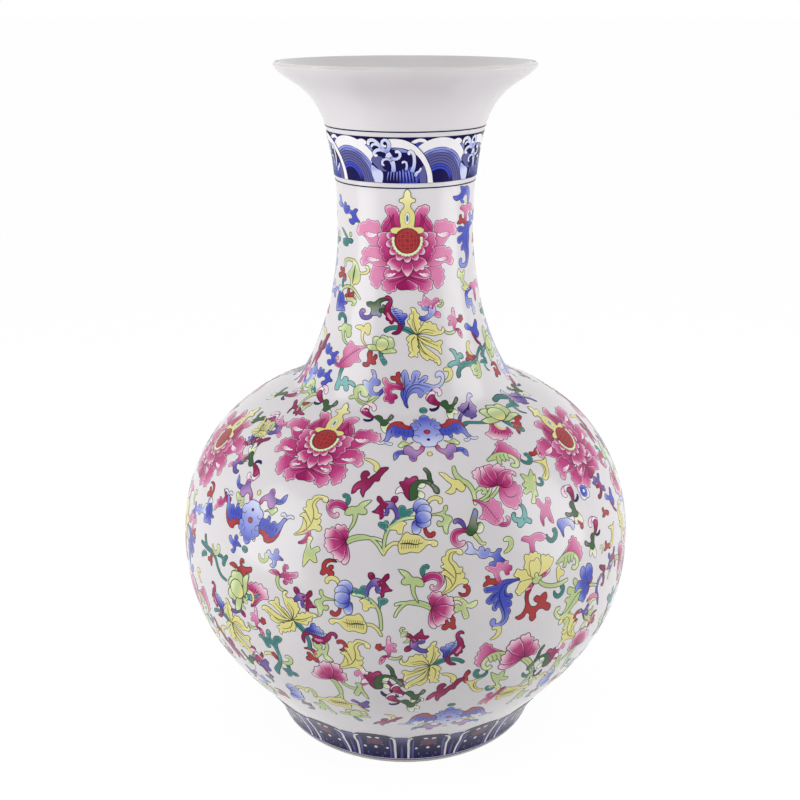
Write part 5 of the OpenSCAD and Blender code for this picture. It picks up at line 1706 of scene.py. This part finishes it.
def brush_stroke():
    """A group that shades a stroke from its root to its tip, with a rim and brush streaks."""
    group = bpy.data.node_groups.get("brush_stroke")
    if group:
        return group
    tints = {name: "NodeSocketColor" for name in ("Root", "Body", "Tip", "Rim")}
    shares = {name: "NodeSocketFloat" for name in ("Streak", "Along", "Across")}
    group, given, wanted = new_group("brush_stroke", {**tints, **shares}, {"Color": "NodeSocketColor"})
    nodes, links = group.nodes, group.links

    def ease(socket, start, end):
        node = node_of(nodes, "MapRange", interpolation_type="SMOOTHSTEP")
        node.inputs["From Min"].default_value = start
        node.inputs["From Max"].default_value = end
        links.new(socket, node.inputs["Value"])
        return node.outputs["Result"]

    def maths(operation, first, second):
        node = node_of(nodes, "Math", operation=operation)
        for socket, value in zip(node.inputs, (first, second)):
            if isinstance(value, (int, float)):
                socket.default_value = value
            else:
                links.new(value, socket)
        return node.outputs[0]

    def mixed(share, first, second):
        node = node_of(nodes, "MixRGB")
        for socket, value in zip(node.inputs, (share, first, second)):
            links.new(value, socket)
        return node.outputs["Color"]

    edge = maths("ABSOLUTE", given["Across"], 0)
    tone = mixed(ease(given["Along"], 0.02, 0.5), given["Root"], given["Body"])
    tone = mixed(ease(given["Along"], 0.5, 1.0), tone, given["Tip"])
    wave = maths("SINE", maths("MULTIPLY", given["Across"], math.pi * STREAKS), 0)
    fade = maths("SUBTRACT", 1, ease(given["Along"], 0.1, 0.95))
    streak = maths("MULTIPLY", maths("MULTIPLY", ease(wave, 0, 1), fade), given["Streak"])
    tone = mixed(streak, tone, given["Root"])
    rim = maths("MAXIMUM", ease(edge, 0.62, 1.0), ease(given["Along"], 0.88, 1.0))
    pale = maths("MULTIPLY", rim, maths("MULTIPLY", ease(given["Along"], 0.1, 0.6), 0.85))
    tone = mixed(pale, tone, given["Rim"])
    links.new(tone, wanted["Color"])
    return group


def paint_finish(name, paints, gloss):
    """The glossy enamel of a box of paints. Each paint has its own strip of the map on the drawings."""
    material, nodes, links, shader = new_material(name)
    place = node_of(nodes, "UVMap", uv_map=PAINT_MAP)
    split = node_of(nodes, "SeparateXYZ")
    links.new(place.outputs["UV"], split.inputs["Vector"])
    strip = node_of(nodes, "Math", operation="MULTIPLY")
    strip.inputs[1].default_value = len(paints)
    links.new(split.outputs["Y"], strip.inputs[0])
    within = node_of(nodes, "Math", operation="FRACT")
    links.new(strip.outputs[0], within.inputs[0])
    across = node_of(nodes, "MapRange")
    across.inputs["From Min"].default_value = STRIP_MARGIN
    across.inputs["From Max"].default_value = 1 - STRIP_MARGIN
    across.inputs["To Min"].default_value = -1
    links.new(within.outputs[0], across.inputs["Value"])
    stroke = node_of(nodes, "Group", node_tree=brush_stroke())
    links.new(split.outputs["X"], stroke.inputs["Along"])
    links.new(across.outputs["Result"], stroke.inputs["Across"])
    for field in ("root", "body", "tip", "rim", "streak"):
        ramp = node_of(nodes, "ValToRGB")
        ramp.color_ramp.interpolation = "CONSTANT"
        stops = ramp.color_ramp.elements
        stops.remove(stops[1])
        for index, paint in enumerate(paints.values()):
            stop = stops.new(index / len(paints)) if index else stops[0]
            value = getattr(paint, field)
            tint = getattr(colours(), value) if isinstance(value, str) else (value, value, value)
            stop.color = (*tint, 1)
        links.new(split.outputs["Y"], ramp.inputs["Fac"])
        links.new(ramp.outputs["Color"], stroke.inputs[field.capitalize()])
    links.new(stroke.outputs["Color"], shader.inputs["Base Color"])
    shader.inputs["Roughness"].default_value = ENAMEL_ROUGHNESS
    shader.inputs["Specular IOR Level"].default_value = gloss
    return material


def kept_material(name, make, *details):
    return bpy.data.materials.get(name) or make(name, *details)


def scroll_enamel():
    return kept_material("scroll_enamel", paint_finish, SCROLL_PAINTS, SCROLL_GLOSS)


def band_enamel():
    return kept_material("band_enamel", paint_finish, BAND_PAINTS, BAND_GLOSS)


# Operators


class VASE_OT_clay(bpy.types.Operator):
    """Finishes the clay sections and the slip between them, and turns the bare foot ring again"""
    bl_idname = "vase.clay"
    bl_label = "Clay and slip"

    def execute(self, context):
        clay = fired_surface("bare_clay", colours().clay, darker(colours().clay, 0.86), 0.62, 0.05, 0.12)
        slip = fired_surface("fired_slip", colours().slip, darker(colours().slip, 0.82), 0.7, 0.08, 0.2)
        for name, node in frame["nodes"].items():
            node.data.materials.clear()
            node.data.materials.append(slip if name.endswith("luting") else clay)
        ring = spin_outline(smooth_outline("foot_ring"))
        finish_piece(ring, "bare_foot_ring", clay, "porcelain_body", "foot_ring")
        return {"FINISHED"}


class VASE_OT_glaze(bpy.types.Operator):
    """Turns the glaze coats again as smooth skins"""
    bl_idname = "vase.glaze"
    bl_label = "Glaze"

    def execute(self, context):
        glaze = fired_surface("white_glaze", colours().glaze, darker(colours().glaze, 0.97), 0.18, 0.1, 0)
        for node in ("outer_glaze", "inner_glaze", "base_glaze"):
            finish_piece(spin_outline(smooth_outline(node)), "smooth_" + node, glaze, "clear_glaze", node)
        return {"FINISHED"}


def lay_round(name, draw, carrier, angles, girth, slot, *nodes, mirrored=False):
    """Lays one drawing of a band at several angles on its carrier, as one piece. Mirrored turns every second
    one over."""
    wall = Wall(carrier)
    sketch = Sketch(BAND_PAINTS)
    draw(sketch)
    drawing = sketch.mesh(name)
    bm = bmesh.new()
    for step, angle in enumerate(angles):
        size = -1 if mirrored and step % 2 else 1
        lay(bm, wall, drawing, angle, wall.height[0] / MM, size=size, girth=girth)
    bpy.data.meshes.remove(drawing)
    return finish_piece(bm, name, band_enamel(), slot, *nodes)


class VASE_OT_wave_band(bpy.types.Operator):
    """Turns the dark ring on the neck with its border lines, and draws the waves on it"""
    bl_idname = "vase.wave_band"
    bl_label = "Wave band"

    def execute(self, context):
        navy = colours().navy
        ground = fired_surface("navy_enamel", navy, darker(navy, 0.8), 0.12, 0.1, 0, BAND_GLOSS)
        for node in ("wave_band", "wave_upper_line", "wave_lower_line"):
            finish_piece(spin_outline(smooth_outline(node)), "smooth_" + node, ground, "navy_enamel", node)
        angles = [WAVE_START + 360 / WAVE_COUNT * step for step in range(WAVE_COUNT)]
        lay_round("waves", draw_wave, "wave_band", angles, WAVE_GIRTH, "navy_enamel")
        return {"FINISHED"}


class VASE_OT_lappets(bpy.types.Operator):
    """Draws the panels round the foot and the shaded strips between them, and turns the dark foot line"""
    bl_idname = "vase.lappets"
    bl_label = "Lappets"

    def execute(self, context):
        ground = bpy.data.materials["navy_enamel"]
        line = spin_outline(smooth_outline("foot_line"))
        finish_piece(line, "smooth_foot_line", ground, "navy_enamel", "foot_line")
        gaps = [LAPPET_START + 360 / LAPPET_COUNT * step for step in range(LAPPET_COUNT)]
        panels = [angle + 180 / LAPPET_COUNT for angle in gaps]
        lay_round("lappet_panels", draw_lappet, "lappets", panels, LAPPET_GIRTH, "navy_enamel", "lappets",
                  mirrored=True)
        lay_round("lappet_shades", draw_lappet_gap, "lappets", gaps, LAPPET_GIRTH, "grey_blue_enamel",
                  "lappet_gaps")
        return {"FINISHED"}


def lay_scroll(name, *kinds):
    """Lays the drawings of some kinds on the wall, on the front and by a half turn on the back, as one piece.
    With no kinds, it lays all those that have no piece of their own."""
    wall = Wall("outer_glaze")
    drawings = {}
    bm = bmesh.new()
    for region, angle, height, *scale in LAID_REGIONS:
        side = scale[0] if scale else 1
        for row in REGIONS[region].split(","):
            words = row.split()
            numbers = [float(word) for word in words if not word[0].isalpha()]
            kind, *paints = words[:-len(numbers)]
            if kind not in (kinds or OTHER_KINDS):
                continue
            motif = " ".join((kind, *paints))
            if motif not in drawings:
                sketch = Sketch(SCROLL_PAINTS)
                DRAWINGS[kind](sketch, *paints)
                drawings[motif] = sketch.mesh(motif)
            x, y, turn, size = (*numbers, *(0, 1)[len(numbers) - 2:])
            for half in (0, 180):
                lay(bm, wall, drawings[motif], angle + half, height, x * side, y, turn * side, size * side)
    for drawing in drawings.values():
        bpy.data.meshes.remove(drawing)
    return finish_piece(bm, name, scroll_enamel(), "navy_enamel")


class VASE_OT_lotuses(bpy.types.Operator):
    """Paints the lotus flowers"""
    bl_idname = "vase.lotuses"
    bl_label = "Lotus flowers"

    def execute(self, context):
        lay_scroll("lotus_flowers", *LOTUS_KINDS)
        return {"FINISHED"}


class VASE_OT_bats(bpy.types.Operator):
    """Paints the bats"""
    bl_idname = "vase.bats"
    bl_label = "Bats"

    def execute(self, context):
        lay_scroll("bats", *BAT_KINDS)
        return {"FINISHED"}


class VASE_OT_lilies(bpy.types.Operator):
    """Paints the yellow lilies"""
    bl_idname = "vase.lilies"
    bl_label = "Lilies"

    def execute(self, context):
        lay_scroll("lilies", *LILY_KINDS)
        return {"FINISHED"}


class VASE_OT_peonies(bpy.types.Operator):
    """Paints the peonies and the small flowers"""
    bl_idname = "vase.peonies"
    bl_label = "Peonies"

    def execute(self, context):
        lay_scroll("peonies", *PEONY_KINDS)
        return {"FINISHED"}


class VASE_OT_leaves(bpy.types.Operator):
    """Paints the leaves"""
    bl_idname = "vase.leaves"
    bl_label = "Leaves"

    def execute(self, context):
        lay_scroll("leaves", *LEAF_KINDS)
        return {"FINISHED"}


class VASE_OT_buds(bpy.types.Operator):
    """Paints the buds"""
    bl_idname = "vase.buds"
    bl_label = "Buds"

    def execute(self, context):
        lay_scroll("buds", *BUD_KINDS)
        return {"FINISHED"}


class VASE_OT_scrolls(bpy.types.Operator):
    """Paints the scrolls, sprigs and stems between the flowers"""
    bl_idname = "vase.scrolls"
    bl_label = "Scrolls"

    def execute(self, context):
        lay_scroll("scrolls")
        return {"FINISHED"}


def soft_light(name, location, aim, width, height, power):
    lamp = bpy.data.lights.new(name, "AREA")
    lamp.shape = "RECTANGLE"
    lamp.size, lamp.size_y = width, height
    lamp.energy = power
    light = bpy.data.objects.new(name, lamp)
    light.location = location
    light.rotation_euler = (Vector(aim) - Vector(location)).to_track_quat("-Z", "Y").to_euler()
    bpy.context.scene.collection.objects.link(light)
    return light


def seen_directly(nodes, links):
    """A factor of one for rays from the camera and for reflections, and nought for diffuse light."""
    path = node_of(nodes, "LightPath")
    total = path.outputs["Is Camera Ray"]
    for ray in ("Is Glossy Ray", "Is Transmission Ray"):
        either = node_of(nodes, "Math", operation="MAXIMUM")
        links.new(total, either.inputs[0])
        links.new(path.outputs[ray], either.inputs[1])
        total = either.outputs[0]
    return total


class VASE_OT_stage(bpy.types.Operator):
    """Sets the floor, the soft lights, the white surroundings and the camera"""
    bl_idname = "vase.stage"
    bl_label = "Stage"

    def execute(self, context):
        scene = context.scene
        stage = scene.vase_stage
        scene.view_settings.view_transform = "Standard"
        self.add_camera(scene, stage)
        self.add_floor(scene, stage)
        self.add_world(scene, stage)
        soft_light("left_softbox", (-1.4, -0.65, 0.6), (0, 0, 0.3), 1.1, 1.5, 14.5)
        soft_light("right_softbox", (1.5, -0.35, 0.6), (0, 0, 0.3), 1, 1.5, 13)
        soft_light("top_softbox", (0, -0.5, 1.8), (0, 0, 0.3), 1.4, 1.4, 2)
        fill = soft_light("mouth_fill", (0, -1.1, 0.15), (0, 0, 0.54), 0.3, 0.1, 0.05)
        fill.visible_glossy = False
        fill.data.spread = math.radians(24)
        return {"FINISHED"}

    def add_camera(self, scene, stage):
        camera = bpy.data.objects.new("camera", bpy.data.cameras.new("camera"))
        scene.collection.objects.link(camera)
        camera.location = (0, -stage.camera_back, stage.camera_height)
        camera.rotation_euler = (math.radians(90) - stage.camera_tilt, 0, 0)
        camera.data.lens = stage.lens
        camera.data.shift_x = stage.shift
        scene.camera = camera

    def add_floor(self, scene, stage):
        bm = bmesh.new()
        bmesh.ops.create_grid(bm, x_segments=2, y_segments=2, size=60)
        mesh = bpy.data.meshes.new("floor")
        bm.to_mesh(mesh)
        bm.free()
        material, nodes, links, shader = new_material("pale_floor")
        shader.inputs["Base Color"].default_value = (*stage.floor, 1)
        shader.inputs["Roughness"].default_value = 0.9
        glow = node_of(nodes, "Emission")
        glow.inputs["Strength"].default_value = FLOOR_GLOW
        mix = node_of(nodes, "MixShader")
        share = node_of(nodes, "Math", operation="MULTIPLY")
        share.inputs[1].default_value = FLOOR_WHITE
        links.new(seen_directly(nodes, links), share.inputs[0])
        links.new(share.outputs[0], mix.inputs["Fac"])
        links.new(shader.outputs["BSDF"], mix.inputs[1])
        links.new(glow.outputs["Emission"], mix.inputs[2])
        links.new(mix.outputs["Shader"], nodes["Material Output"].inputs["Surface"])
        mesh.materials.append(material)
        floor = bpy.data.objects.new("floor", mesh)
        scene.collection.objects.link(floor)
        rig.stage(floor)

    def add_world(self, scene, stage):
        world = bpy.data.worlds.new("surroundings")
        world.use_nodes = True
        nodes, links = world.node_tree.nodes, world.node_tree.links
        direction = node_of(nodes, "TexCoord")
        behind = node_of(nodes, "VectorMath", operation="DOT_PRODUCT")
        behind.inputs[1].default_value = BRIGHT_SIDE
        links.new(direction.outputs["Generated"], behind.inputs[0])
        path = node_of(nodes, "LightPath")
        level = None
        for ray, front, back in (("Is Diffuse Ray", 0.4, 0.6), ("Is Glossy Ray", 0.4, 1),
                                 ("Is Transmission Ray", 1, 1), ("Is Camera Ray", 1, 1)):
            side = node_of(nodes, "MapRange", interpolation_type="SMOOTHSTEP")
            side.inputs["From Min"].default_value = BRIGHT_EDGE[0]
            side.inputs["From Max"].default_value = BRIGHT_EDGE[1]
            side.inputs["To Min"].default_value = front
            side.inputs["To Max"].default_value = back
            links.new(behind.outputs["Value"], side.inputs["Value"])
            part = node_of(nodes, "Math", operation="MULTIPLY_ADD")
            links.new(side.outputs["Result"], part.inputs[0])
            links.new(path.outputs[ray], part.inputs[1])
            part.inputs[2].default_value = 0
            if level:
                links.new(level, part.inputs[2])
            level = part.outputs[0]
        background = nodes["Background"]
        background.inputs["Color"].default_value = (1, 1, 1, 1)
        links.new(level, background.inputs["Strength"])
        scene.world = world


OPERATORS = (VASE_OT_clay, VASE_OT_glaze, VASE_OT_wave_band, VASE_OT_lappets, VASE_OT_lotuses, VASE_OT_bats,
             VASE_OT_lilies, VASE_OT_peonies, VASE_OT_leaves, VASE_OT_buds, VASE_OT_scrolls, VASE_OT_stage)


class VASE_PT_panel(bpy.types.Panel):
    """Lists the steps that dress the vase"""
    bl_idname = "VASE_PT_panel"
    bl_label = "Porcelain vase"
    bl_space_type = "VIEW_3D"
    bl_region_type = "UI"
    bl_category = "Vase"

    def draw(self, context):
        for operator in OPERATORS:
            self.layout.operator(operator.bl_idname)


GROUPS = {"vase_sizes": VaseSizes, "vase_colours": VaseColours, "vase_stage": StageSettings}


def register():
    for name, group in GROUPS.items():
        bpy.utils.register_class(group)
        setattr(bpy.types.Scene, name, PointerProperty(type=group))
    for cls in (*OPERATORS, VASE_PT_panel):
        bpy.utils.register_class(cls)


def unregister():
    for cls in reversed((*OPERATORS, VASE_PT_panel)):
        bpy.utils.unregister_class(cls)
    for name, group in GROUPS.items():
        delattr(bpy.types.Scene, name)
        bpy.utils.unregister_class(group)


def main():
    register()
    bpy.ops.vase.clay()
    bpy.ops.vase.glaze()
    bpy.ops.vase.wave_band()
    bpy.ops.vase.lappets()
    bpy.ops.vase.lotuses()
    bpy.ops.vase.bats()
    bpy.ops.vase.lilies()
    bpy.ops.vase.peonies()
    bpy.ops.vase.leaves()
    bpy.ops.vase.buds()
    bpy.ops.vase.scrolls()
    bpy.ops.vase.stage()
    with open(SIZE_FILE, "w") as out:
        json.dump({"cad": [list(corner) for corner in CAD_BOX],
                   "visual": [list(corner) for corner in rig.bounds()]}, out)


if __name__ == "__main__":
    main()
